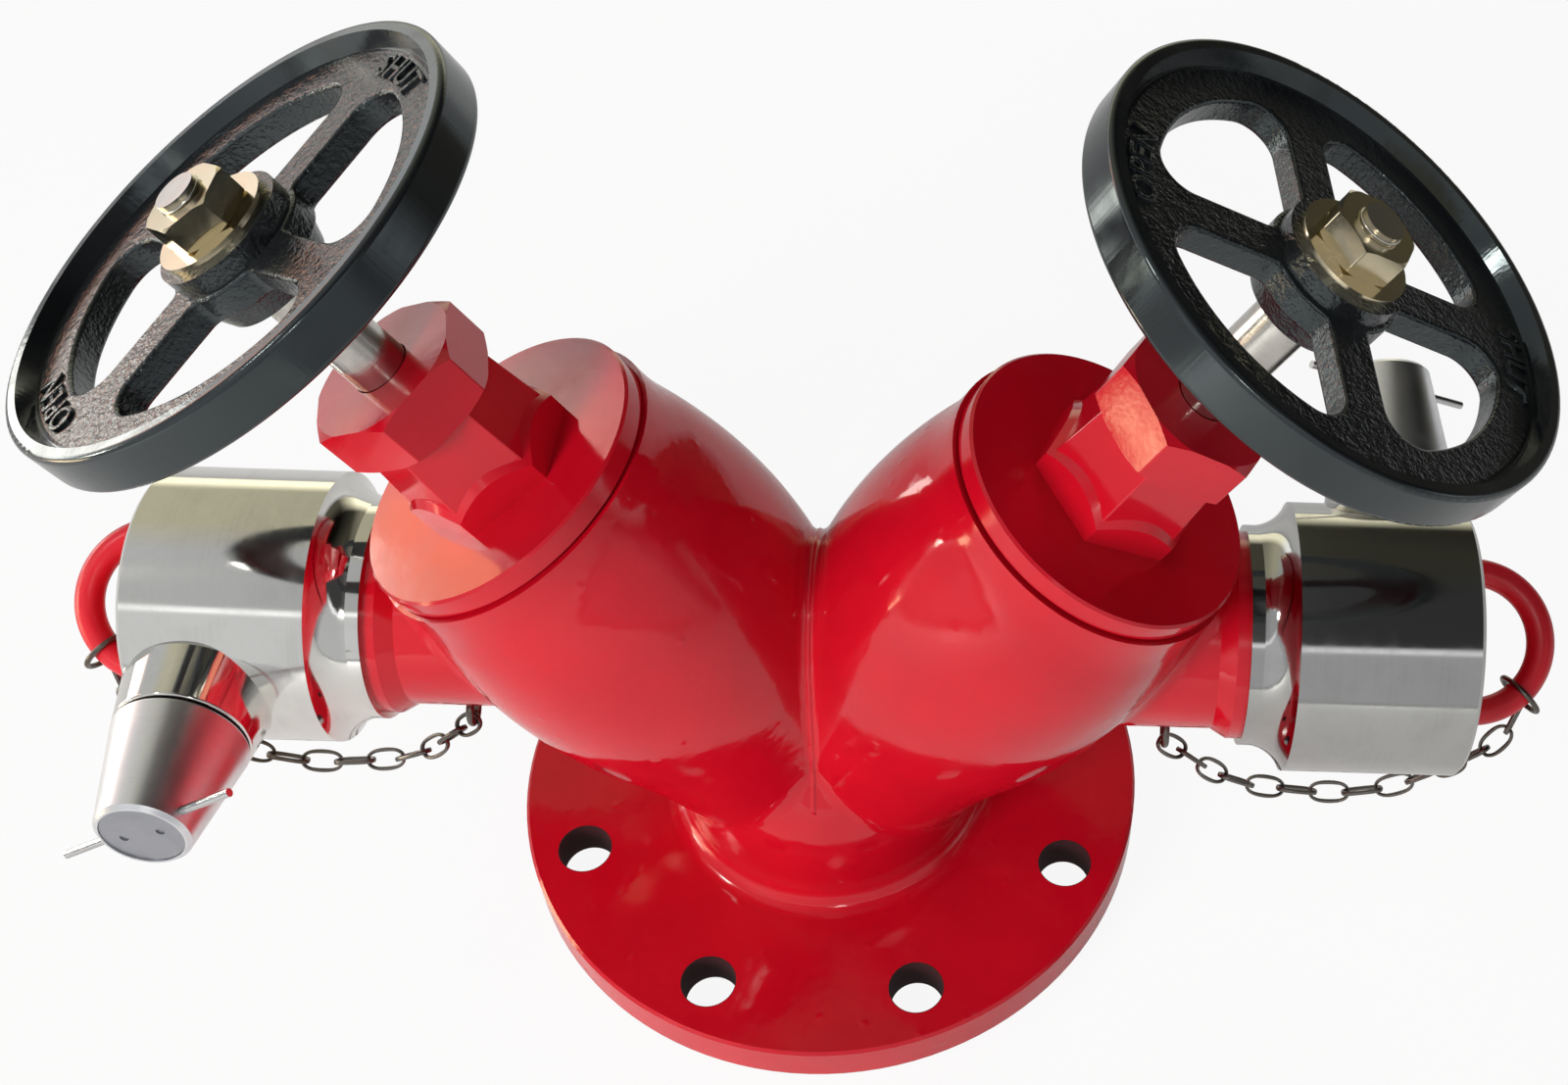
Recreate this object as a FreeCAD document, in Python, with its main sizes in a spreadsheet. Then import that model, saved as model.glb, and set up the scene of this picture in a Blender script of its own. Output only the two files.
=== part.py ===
import FreeCAD, Part
import math
import os
from FreeCAD import Placement, Rotation, Vector
import Sketcher

# Twin-head hydrant valve: one flanged inlet, two inclined screw-down valves and two hose outlets.
# The origin is the centre of the flange's bottom face, +Z is up and the outlets point along X.

doc = FreeCAD.newDocument("hydrant_valve")
sheet = doc.addObject("Spreadsheet::Sheet", "dims")

DIMENSIONS = {
    # Inlet flange and the neck above it
    "flange_d": 216.0,
    "flange_t": 15.0,
    "flange_edge": 1.0,
    "bolt_inset": 18.0,
    "bolt_hole_d": 18.0,
    "bolt_holes": 8.0,
    "neck_d": 104.0,
    "neck_root_fillet": 7.0,
    "neck_top": 36.0,
    "dome_top": 85.0,
    "dome_top_d": 50.0,
    "dome_curve": 58.0,
    "neck_wall": 7.0,
    "inlet_top": 34.0,
    "inlet_roof": 64.0,
    "inlet_roof_d": 64.0,
    # Inclined heads, measured along each stem from the point where the two stems cross
    "stem_tilt": 31.0,
    "stem_cross_z": 26.0,
    "head_mouth_d": 99.4,
    "head_rim_start": 163.4,
    "head_rim_curve": 50.0,
    "head_waist": 151.0,
    "head_waist_d": 102.4,
    "head_top": 168.0,
    "head_swell": 170.0,
    "head_foot": 15.0,
    "head_foot_inset": 7.5,
    "head_leg_top": 21.0,
    "head_leg_curve": 200.0,
    "head_hip": 70.0,
    "head_hip_d": 101.0,
    "chamber_d": 78.0,
    "chamber_floor": 76.0,
    "port_d": 54.0,
    "port_foot": 35.0,
    # Outlet branches, measured along each outlet from the middle of the valve
    "outlet_z": 105.0,
    "outlet_start": 42.0,
    "outlet_d": 61.0,
    "outlet_bore_d": 48.0,
    "outlet_end": 136.0,
    "outlet_lip": 4.0,
    "outlet_lip_d": 67.0,
    "outlet_flare": 5.0,
    "socket_depth": 18.0,
    "socket_d": 54.0,
    # Blends where the castings run into each other
    "neck_blend": 10.0,
    "crotch_blend": 4.0,
    "branch_blend": 6.0,
    # Seat ring, disc and its fastenings
    "seat_ring_d": 62.0,
    "seat_ring_depth": 8.0,
    "seat_lip": 2.0,
    "seal_d": 65.0,
    "seal_t": 5.0,
    "disc_d": 69.0,
    "disc_t": 10.0,
    "disc_grip": 3.0,
    "disc_boss_d": 34.0,
    "disc_boss_top": 112.0,
    "disc_crown": 5.0,
    "disc_bolt_d": 10.0,
    "disc_bolt_end": 95.0,
    "disc_bolt_head_af": 17.0,
    "disc_bolt_head_h": 6.0,
    "disc_washer_d": 40.0,
    "disc_washer_t": 3.0,
    "swivel_bore_d": 24.0,
    "swivel_floor": 98.0,
    "swivel_plug_h": 6.7,
    "swivel_hex_af": 30.0,
    "swivel_hex_h": 5.0,
    # Spindle
    "button_d": 19.4,
    "button_h": 6.4,
    "swivel_neck_d": 14.0,
    "thread_d": 22.0,
    "thread_foot": 122.0,
    "thread_top": 160.0,
    "spindle_d": 17.0,
    "square_af": 13.0,
    "stud_d": 12.0,
    "stud_end": 296.5,
    # Bonnet and gland
    "gasket_t": 1.0,
    "gasket_d": 92.0,
    "bonnet_d": 96.4,
    "bonnet_t": 6.6,
    "bonnet_spigot_depth": 18.0,
    "bonnet_wall": 7.0,
    "bonnet_roof_t": 4.0,
    "bonnet_boss_d": 36.0,
    "bonnet_boss_depth": 29.0,
    "thread_bore_top": 186.0,
    "bonnet_hex_af": 46.6,
    "hex_edge": 0.7,
    "bonnet_edge": 0.8,
    "bonnet_hex_h": 6.0,
    "bonnet_hex_top_d": 40.0,
    "bonnet_taper_h": 8.0,
    "bonnet_neck_foot_af": 43.6,
    "bonnet_neck_af": 39.6,
    "right_bonnet_turn": 10.0,
    "left_bonnet_turn": 28.5,
    "right_gland_turn": 3.0,
    "left_gland_turn": 45.0,
    "gland_foot": 205.0,
    "gland_spigot_d": 34.0,
    "gland_spigot_h": 12.0,
    "packing_d": 26.0,
    "packing_floor": 207.0,
    "packing_h": 6.0,
    "gland_nut_af": 46.0,
    "gland_nut_h": 17.0,
    "gland_nut_roof": 4.0,
    "gland_nut_bevel": 3.0,
    # Handwheel
    "wheel_d": 148.0,
    "wheel_foot": 268.0,
    "rim_h": 14.0,
    "rim_lip": 6.0,
    "rim_edge": 1.8,
    "web_recess": 5.0,
    "web_t": 8.5,
    "window_outer_d": 112.0,
    "window_corner": 9.0,
    "window_stand": 1.5,
    "window_root": 3.0,
    "window_edge": 1.2,
    "spoke_w": 13.0,
    "hub_d": 38.0,
    "hub_foot_d": 33.0,
    "hub_foot": 262.0,
    "hub_top": 282.5,
    "right_wheel_turn": 7.0,
    "left_wheel_turn": -36.0,
    "right_wheel_rise": 2.5,
    "left_wheel_rise": -1.5,
    "wheel_washer_d": 33.0,
    "wheel_washer_t": 2.5,
    "wheel_nut_af": 22.0,
    "wheel_nut_h": 9.0,
    "nut_bevel": 1.2,
    # Instantaneous coupling
    "coupling_d": 86.6,
    "coupling_end": 206.0,
    "coupling_neck_d": 71.0,
    "coupling_neck_h": 4.0,
    "coupling_shoulder": 150.0,
    "coupling_flare": 13.0,
    "coupling_edge": 1.2,
    "mouth_d": 67.0,
    "mouth_floor": 158.0,
    "hose_washer_d": 72.0,
    "hose_washer_bore_d": 52.0,
    "hose_washer_t": 6.0,
    # Lug plunger and its knob, measured outward from the outlet's axis
    "lug_station": 186.0,
    "right_lug_turn": 22.0,
    "left_lug_turn": 6.0,
    "boss_foot_d": 46.0,
    "boss_d": 41.0,
    "boss_top": 56.0,
    "boss_rim": 0.8,
    "housing_d": 26.0,
    "housing_top": 68.0,
    "lug_bore_d": 19.0,
    "lug_tip": 29.0,
    "lug_bevel": 4.0,
    "lug_shoulder": 46.0,
    "lug_stem_d": 10.0,
    "spring_cap_t": 3.0,
    "spring_cap_depth": 4.0,
    "spring_wire": 1.8,
    "spring_coil_d": 14.4,
    "spring_turns": 5.0,
    "knob_gap": 0.9,
    "knob_foot_d": 40.4,
    "knob_foot_edge": 0.8,
    "knob_end": 92.5,
    "knob_end_d": 27.8,
    "knob_bore_d": 27.4,
    "knob_bore_top": 80.0,
    "knob_rim": 1.2,
    "plate_d": 24.0,
    "plate_t": 2.2,
    "spanner_hole_d": 2.6,
    "spanner_hole_gap": 12.0,
    "spanner_turn": 18.0,
    "pin_d": 2.6,
    "pin_depth": 4.5,
    "pin_turn": 30.0,
    "pin_reach": 32.5,
    # Blank cap
    "cap_face": 204.0,
    "cap_wall": 6.0,
    "cap_hollow": 16.0,
    "cap_groove_d": 53.0,
    "cap_groove_w": 22.0,
    "handle_rod_d": 9.0,
    "handle_span": 45.0,
    "handle_leg": 7.0,
    "right_handle_turn": 35.0,
    "left_handle_turn": 145.0,
    # Retaining chain
    "eye_station": 114.0,
    "eye_lean": 26.0,
    "eye_ring_d": 6.4,
    "eye_wire": 2.6,
    "eye_stud_d": 4.0,
    "eye_stud_depth": 4.0,
    "eye_stand": 0.3,
    "link_pitch": 11.4,
    "link_wire": 1.8,
    "link_play": 0.4,
    "link_inner_w": 5.0,
    "ring_d": 15.0,
    "ring_wire": 1.8,
    # Fits
    "running_gap": 0.05,
    "loose_gap": 0.3,
    "static_gap": 0.1,
    "cut_over": 1.0,
}

for row, (alias, number) in enumerate(DIMENSIONS.items(), start=1):
    sheet.set("A%d" % row, alias)
    sheet.set("B%d" % row, str(number))
    sheet.setAlias("B%d" % row, alias)
doc.recompute()


class Size:
    """A length with its value now and the sheet formula that drives it."""

    def __init__(self, value, formula):
        self.value = float(value)
        self.formula = formula

    def __add__(self, other):
        other = as_size(other)
        return Size(self.value + other.value, "(%s + %s)" % (self.formula, other.formula))

    def __sub__(self, other):
        other = as_size(other)
        return Size(self.value - other.value, "(%s - %s)" % (self.formula, other.formula))

    def __mul__(self, factor):
        return Size(self.value * factor, "(%s * %r)" % (self.formula, factor))

    def __truediv__(self, factor):
        return Size(self.value / factor, "(%s / %r)" % (self.formula, factor))

    def __neg__(self):
        return self * -1.0

    def __float__(self):
        return self.value


def as_size(number):
    return number if isinstance(number, Size) else Size(number, repr(float(number)))


class Dims:
    """Every cell of the sheet as a Size, by its alias."""

    def __getattr__(self, alias):
        return Size(sheet.get(alias), "dims.%s" % alias)


d = Dims()
nodes = []


def keep(shape_object, label):
    """Name a finished sub-part; its label becomes its file."""
    shape_object.Label = label
    nodes.append(shape_object)
    return shape_object


# Frames: a stem's local Z runs outward along the stem, an outlet's along the outlet, a lug's outward.
HALF_TURN = Placement(Vector(), Rotation(Vector(0, 0, 1), 180))
SIDES = {"right": Placement(), "left": HALF_TURN}


def stem_frame(side):
    tilt = Rotation(Vector(0, 1, 0), d.stem_tilt.value)
    return SIDES[side].multiply(Placement(Vector(0, 0, d.stem_cross_z.value), tilt))


def outlet_frame(side):
    along_x = Rotation(Vector(0, 1, 0), 90)
    return SIDES[side].multiply(Placement(Vector(0, 0, d.outlet_z.value), along_x))


def lug_frame(side):
    turn = Size(sheet.get(side + "_lug_turn"), "")
    lean = Rotation(Vector(1, 0, 0), turn.value - 90)
    base = Vector(d.lug_station.value, 0, d.outlet_z.value)
    return SIDES[side].multiply(Placement(base, lean))


def lifted(frame, height):
    return frame.multiply(Placement(Vector(0, 0, float(height)), Rotation()))


def turned_about(frame, degrees):
    return frame.multiply(Placement(Vector(), Rotation(Vector(0, 0, 1), float(degrees))))


# Building blocks: each one binds its sizes to the sheet.
def arc_centre(start, finish, radius):
    chord = finish - start
    middle = (start + finish) * 0.5
    rise = math.sqrt(max(radius * radius - chord.Length ** 2 / 4, 0.0))
    left = Vector(-chord.y, chord.x, 0)
    left.normalize()
    return middle + left * math.copysign(rise, radius)


def turned(name, outline, frame):
    """A piece turned on a lathe: corners (radius, height), and a third value where an arc arrives.

    A positive arc radius turns left on the way round the outline, a negative one right.
    """
    body = doc.addObject("PartDesign::Body", name)
    sketch = body.newObject("Sketcher::SketchObject", name + "_profile")
    plane = [f for f in body.Origin.OriginFeatures if f.Role == "XZ_Plane"][0]
    sketch.AttachmentSupport = (plane, "")
    sketch.MapMode = "FlatFace"
    corners = [(as_size(c[0]), as_size(c[1])) for c in outline]
    points = [Vector(r.value, z.value, 0) for r, z in corners]
    ends = []
    for index, corner in enumerate(outline):
        start = points[index - 1]
        finish = points[index]
        if len(corner) == 2:
            edge = sketch.addGeometry(Part.LineSegment(start, finish), False)
            ends.append((edge, 1, 2))
            continue
        radius = as_size(corner[2])
        centre = arc_centre(start, finish, radius.value)
        first, last = (start, finish) if radius.value > 0 else (finish, start)
        circle = Part.Circle(centre, Vector(0, 0, 1), abs(radius.value))
        angle_first = math.atan2(first.y - centre.y, first.x - centre.x)
        angle_last = math.atan2(last.y - centre.y, last.x - centre.x)
        edge = sketch.addGeometry(Part.ArcOfCircle(circle, angle_first, angle_last), False)
        ends.append((edge, 1, 2) if radius.value > 0 else (edge, 2, 1))
        index_radius = sketch.addConstraint(Sketcher.Constraint("Radius", edge, abs(radius.value)))
        size = radius if radius.value > 0 else -radius
        sketch.setExpression("Constraints[%d]" % index_radius, size.formula)
    for index, (edge, first, last) in enumerate(ends):
        before, _, before_last = ends[index - 1]
        sketch.addConstraint(Sketcher.Constraint("Coincident", before, before_last, edge, first))
    for (edge, _, last), (r, z) in zip(ends, corners):
        if r.value == 0:
            sketch.addConstraint(Sketcher.Constraint("PointOnObject", edge, last, -2))
        else:
            bind_distance(sketch, "DistanceX", edge, last, r)
        if z.value == 0:
            sketch.addConstraint(Sketcher.Constraint("PointOnObject", edge, last, -1))
        else:
            bind_distance(sketch, "DistanceY", edge, last, z)
    turn = body.newObject("PartDesign::Revolution", name + "_turned")
    turn.Profile = sketch
    turn.ReferenceAxis = (sketch, ["V_Axis"])
    turn.Angle = 360.0
    body.Placement = frame
    return body


def bind_distance(sketch, kind, edge, point, size):
    index = sketch.addConstraint(Sketcher.Constraint(kind, -1, 1, edge, point, size.value))
    sketch.setExpression("Constraints[%d]" % index, size.formula)


def rod(name, diameter, start, finish, frame):
    """A round bar along the frame's Z from start to finish."""
    bar = doc.addObject("Part::Cylinder", name)
    bar.setExpression("Radius", (diameter / 2).formula)
    bar.setExpression("Height", (as_size(finish) - start).formula)
    bar.Placement = lifted(frame, start)
    return bar


def hexagon(name, across_flats, start, finish, frame):
    """A hexagonal bar along the frame's Z from start to finish."""
    bar = doc.addObject("Part::Prism", name)
    bar.Polygon = 6
    bar.setExpression("Circumradius", (across_flats / math.sqrt(3)).formula)
    bar.setExpression("Height", (as_size(finish) - start).formula)
    bar.Placement = lifted(frame, start)
    return bar


def softened(name, block, frame):
    """A hexagonal block with the edges between its flats slightly rounded."""
    doc.recompute()
    axis = frame.Rotation.multVec(Vector(0, 0, 1))
    rounded = doc.addObject("Part::Fillet", name)
    rounded.Base = block
    radius = d.hex_edge.value
    rounded.Edges = [(number, radius, radius) for number, edge in enumerate(block.Shape.Edges, start=1)
                     if abs(edge.tangentAt(edge.FirstParameter).dot(axis)) > 0.5]
    return rounded


def hex_taper(name, foot_flats, top_flats, start, finish, frame):
    """A hexagonal block that narrows along the frame's Z."""
    sections = []
    for label, across_flats, height in (("_foot", foot_flats, start), ("_top", top_flats, finish)):
        outline = doc.addObject("Part::RegularPolygon", name + label)
        outline.Polygon = 6
        outline.setExpression("Circumradius", (across_flats / math.sqrt(3)).formula)
        outline.Placement = lifted(frame, height)
        sections.append(outline)
    block = doc.addObject("Part::Loft", name)
    block.Sections = sections
    block.Solid = True
    block.Ruled = True
    return block


def fused(name, *pieces):
    union = doc.addObject("Part::MultiFuse", name)
    union.Shapes = list(pieces)
    return union


def cut(name, base, *tools):
    result = doc.addObject("Part::Cut", name)
    result.Base = base
    result.Tool = tools[0] if len(tools) == 1 else fused(name + "_tools", *tools)
    return result


def common(name, first, second):
    result = doc.addObject("Part::Common", name)
    result.Base = first
    result.Tool = second
    return result


def feature(name, shape, frame):
    """A shape made in code from the sheet's values, placed afterwards."""
    item = doc.addObject("Part::Feature", name)
    item.Shape = shape
    item.Placement = frame
    return item


def bevelled(radius, start, finish, bevel):
    """The outline of a disc whose two edges are bevelled at 30 degrees, to trim a hexagon's corners."""
    drop = bevel * math.tan(math.radians(30))
    return [(0, start), (radius - bevel, start), (radius, start + drop),
            (radius, finish - drop), (radius - bevel, finish), (0, finish)]


def hex_nut(name, across_flats, start, finish, bevel, bore, frame):
    """A hexagon nut with its corners turned off at both ends."""
    corner = across_flats / math.sqrt(3)
    blank = softened(name + "_flats", hexagon(name + "_hexagon", across_flats, start, finish, frame), frame)
    trim = turned(name + "_trim", bevelled(corner, start, finish, bevel), frame)
    hole = rod(name + "_hole", bore, as_size(start) - d.cut_over, as_size(finish) + d.cut_over, frame)
    return cut(name, common(name + "_blank", blank, trim), hole)


# Casting: flange, neck, two swelling heads and two outlet branches, cored through.
def casting():
    upright = Placement()
    neck_r = d.neck_d / 2
    outer = [turned("flange_and_neck", [
        (0, 0),
        (d.flange_d / 2, 0),
        (d.flange_d / 2, d.flange_t - d.flange_edge),
        (d.flange_d / 2 - d.flange_edge, d.flange_t),
        (neck_r + d.neck_root_fillet, d.flange_t),
        (neck_r, d.flange_t + d.neck_root_fillet, -d.neck_root_fillet),
        (neck_r, d.neck_top),
        (d.dome_top_d / 2, d.dome_top, d.dome_curve),
        (0, d.dome_top),
    ], upright)]
    inlet_r = neck_r - d.neck_wall
    cores = [turned("inlet_core", [
        (0, 0),
        (inlet_r, 0),
        (inlet_r, d.inlet_top),
        (d.inlet_roof_d / 2, d.inlet_roof),
        (0, d.inlet_roof),
    ], upright)]
    for side in SIDES:
        stem = stem_frame(side)
        outlet = outlet_frame(side)
        outer.append(turned(side + "_head", [
            (0, d.head_foot),
            (neck_r - d.head_foot_inset, d.head_foot),
            (neck_r - d.head_foot_inset, d.head_leg_top),
            (d.head_hip_d / 2, d.head_hip, -d.head_leg_curve),
            (d.head_waist_d / 2, d.head_waist, d.head_swell),
            (d.head_mouth_d / 2, d.head_rim_start, -d.head_rim_curve),
            (d.head_mouth_d / 2, d.head_top),
            (0, d.head_top),
        ], stem))
        outer.append(turned(side + "_branch", [
            (0, d.outlet_start),
            (d.outlet_d / 2, d.outlet_start),
            (d.outlet_d / 2, d.outlet_end - d.outlet_lip - d.outlet_flare),
            (d.outlet_lip_d / 2, d.outlet_end - d.outlet_lip),
            (d.outlet_lip_d / 2, d.outlet_end),
            (0, d.outlet_end),
        ], outlet))
        cores.append(turned(side + "_stem_core", [
            (0, d.port_foot),
            (d.port_d / 2, d.port_foot),
            (d.port_d / 2, d.chamber_floor - d.seat_ring_depth),
            (d.seat_ring_d / 2, d.chamber_floor - d.seat_ring_depth),
            (d.seat_ring_d / 2, d.chamber_floor),
            (d.chamber_d / 2, d.chamber_floor),
            (d.chamber_d / 2, d.head_top),
            (0, d.head_top),
        ], stem))
        socket_start = d.outlet_end - d.socket_depth
        cores.append(turned(side + "_branch_core", [
            (0, d.outlet_start),
            (d.outlet_bore_d / 2, d.outlet_start),
            (d.outlet_bore_d / 2, socket_start),
            (d.socket_d / 2, socket_start),
            (d.socket_d / 2, d.outlet_end),
            (0, d.outlet_end),
        ], outlet))
        cores.append(rod(side + "_eye_hole", d.eye_stud_d, eye_seat() - d.eye_stud_depth,
                         eye_seat() + d.cut_over, eye_frame(side)))
    count = int(d.bolt_holes.value)
    for index in range(count):
        turn = Rotation(Vector(0, 0, 1), 360.0 * (index + 0.5) / count)
        ray = Placement(Vector(), turn)
        reach = Placement(Vector((d.flange_d / 2 - d.bolt_inset).value, 0, 0), Rotation())
        cores.append(rod("bolt_hole_%d" % (index + 1), d.bolt_hole_d, 0, d.flange_t, ray.multiply(reach)))
    joined = fused("casting_outside", *outer)
    doc.recompute()
    blended = doc.addObject("Part::Fillet", "casting_blends")
    blended.Base = joined
    blended.Edges = blend_edges(joined.Shape)
    return keep(cut("valve_body_solid", blended, *cores), "valve_body")


def blend_edges(shape):
    """The seams where two turned castings meet, each with the radius of its blend."""
    chosen = []
    for number, edge in enumerate(shape.Edges, start=1):
        if edge.Curve.TypeId != "Part::GeomBSplineCurve":
            continue
        box = edge.BoundBox
        if box.XLength < 1.0:
            radius = d.crotch_blend.value
        elif abs(box.Center.x) > d.neck_d.value * 0.75:
            radius = d.branch_blend.value
        else:
            radius = d.neck_blend.value
        chosen.append((number, radius, radius))
    return chosen


# Chain eye: a ring on a short stud let into the underside of the branch, leaning to the front.
def eye_frame(side):
    front = 1.0 if side == "right" else -1.0
    lean = Rotation(Vector(1, 0, 0), 180.0 - front * d.eye_lean.value)
    base = Vector(d.eye_station.value, 0, d.outlet_z.value)
    return SIDES[side].multiply(Placement(base, lean))


def eye_seat():
    return d.outlet_d / 2


def chain_eye(side):
    frame = eye_frame(side)
    ring_radius = d.eye_ring_d / 2 + d.eye_wire / 2
    middle = eye_seat() + d.eye_stand + d.eye_wire / 2 + ring_radius
    ring = doc.addObject("Part::Torus", side + "_eye_ring")
    ring.setExpression("Radius1", ring_radius.formula)
    ring.setExpression("Radius2", (d.eye_wire / 2).formula)
    upright = Placement(Vector(0, 0, middle.value), Rotation(Vector(0, 1, 0), 90))
    ring.Placement = turned_about(frame.multiply(upright), 50.0)
    stud = rod(side + "_eye_stud", d.eye_stud_d - d.static_gap, eye_seat() - d.eye_stud_depth,
               eye_seat() + d.eye_stand + d.eye_wire, frame)
    return keep(fused(side + "_eye", ring, stud), side + "_chain_eye")


# Seat and disc: the ring is let into the chamber floor, and the disc closes on it.
def seat_top():
    return d.chamber_floor + d.seat_lip


def seat_and_disc(side):
    stem = stem_frame(side)
    seat = turned(side + "_seat", [
        (d.port_d / 2, d.chamber_floor - d.seat_ring_depth),
        (d.seat_ring_d / 2, d.chamber_floor - d.seat_ring_depth),
        (d.seat_ring_d / 2, seat_top()),
        (d.port_d / 2, seat_top()),
    ], stem)
    keep(seat, side + "_seat_ring")
    seal_top = seat_top() + d.seal_t
    bolt_r = d.disc_bolt_d / 2
    seal = turned(side + "_seal", [
        (bolt_r + d.static_gap, seat_top()),
        (d.seal_d / 2, seat_top()),
        (d.seal_d / 2, seal_top),
        (bolt_r + d.static_gap, seal_top),
    ], stem)
    keep(seal, side + "_disc_seal")
    disc_top = seal_top + d.disc_t - d.disc_grip
    disc = turned(side + "_disc", [
        (bolt_r + d.static_gap, seal_top),
        (d.seal_d / 2 + d.static_gap, seal_top),
        (d.seal_d / 2 + d.static_gap, seal_top - d.disc_grip),
        (d.disc_d / 2, seal_top - d.disc_grip),
        (d.disc_d / 2, disc_top),
        (d.disc_boss_d / 2, disc_top + d.disc_crown),
        (d.disc_boss_d / 2, d.disc_boss_top),
        (d.swivel_bore_d / 2, d.disc_boss_top),
        (d.swivel_bore_d / 2, d.swivel_floor),
        (bolt_r + d.static_gap, d.swivel_floor),
    ], stem)
    keep(disc, side + "_valve_disc")
    washer_foot = seat_top() - d.disc_washer_t
    washer = turned(side + "_disc_washer_ring", [
        (bolt_r + d.static_gap, washer_foot),
        (d.disc_washer_d / 2, washer_foot),
        (d.disc_washer_d / 2, seat_top()),
        (bolt_r + d.static_gap, seat_top()),
    ], stem)
    keep(washer, side + "_disc_washer")
    head = hexagon(side + "_disc_bolt_head", d.disc_bolt_head_af, washer_foot - d.disc_bolt_head_h,
                   washer_foot, stem)
    shank = rod(side + "_disc_bolt_shank", d.disc_bolt_d, washer_foot, d.disc_bolt_end, stem)
    keep(fused(side + "_bolt", head, shank), side + "_disc_bolt")
    plug_foot = d.disc_boss_top - d.swivel_plug_h
    neck_bore = d.swivel_neck_d + d.running_gap * 2
    plug = rod(side + "_swivel_plug", d.swivel_bore_d - d.static_gap, plug_foot, d.disc_boss_top, stem)
    collar = hexagon(side + "_swivel_hexagon", d.swivel_hex_af, d.disc_boss_top,
                     d.disc_boss_top + d.swivel_hex_h, stem)
    bore = rod(side + "_swivel_bore", neck_bore, plug_foot - d.cut_over,
               d.disc_boss_top + d.swivel_hex_h + d.cut_over, stem)
    nut = cut(side + "_swivel", fused(side + "_swivel_blank", plug, collar), bore)
    keep(nut, side + "_swivel_nut")


# Spindle: a button held in the disc, a threaded length, the plain stem and a squared end for the wheel.
def spindle(side):
    stem = stem_frame(side)
    rise = wheel_rise(side)
    button_foot = d.swivel_floor + d.loose_gap
    bar = turned(side + "_spindle_bar", [
        (0, button_foot),
        (d.button_d / 2, button_foot),
        (d.button_d / 2, button_foot + d.button_h),
        (d.swivel_neck_d / 2, button_foot + d.button_h),
        (d.swivel_neck_d / 2, d.thread_foot),
        (d.thread_d / 2, d.thread_foot),
        (d.thread_d / 2, d.thread_top),
        (d.spindle_d / 2, d.thread_top),
        (d.spindle_d / 2, d.hub_foot + rise),
        (0, d.hub_foot + rise),
    ], stem)
    square = square_bar(side + "_spindle_square", d.square_af, d.hub_foot, d.hub_top, wheel_frame(side))
    stud = rod(side + "_spindle_stud", d.stud_d, d.hub_top, d.stud_end, wheel_frame(side))
    return keep(fused(side + "_spindle_whole", bar, square, stud), side + "_spindle")


def wheel_rise(side):
    """How far one wheel stands above the other's height, from the set of its seal and thread."""
    alias = side + "_wheel_rise"
    return Size(sheet.get(alias), "dims." + alias)


def wheel_frame(side):
    raised = lifted(stem_frame(side), wheel_rise(side))
    return turned_about(raised, sheet.get(side + "_wheel_turn"))


def square_bar(name, across_flats, start, finish, frame):
    bar = doc.addObject("Part::Box", name)
    bar.setExpression("Length", across_flats.formula)
    bar.setExpression("Width", across_flats.formula)
    bar.setExpression("Height", (as_size(finish) - start).formula)
    half = across_flats.value / 2
    bar.Placement = frame.multiply(Placement(Vector(-half, -half, float(start)), Rotation()))
    return bar


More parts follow.
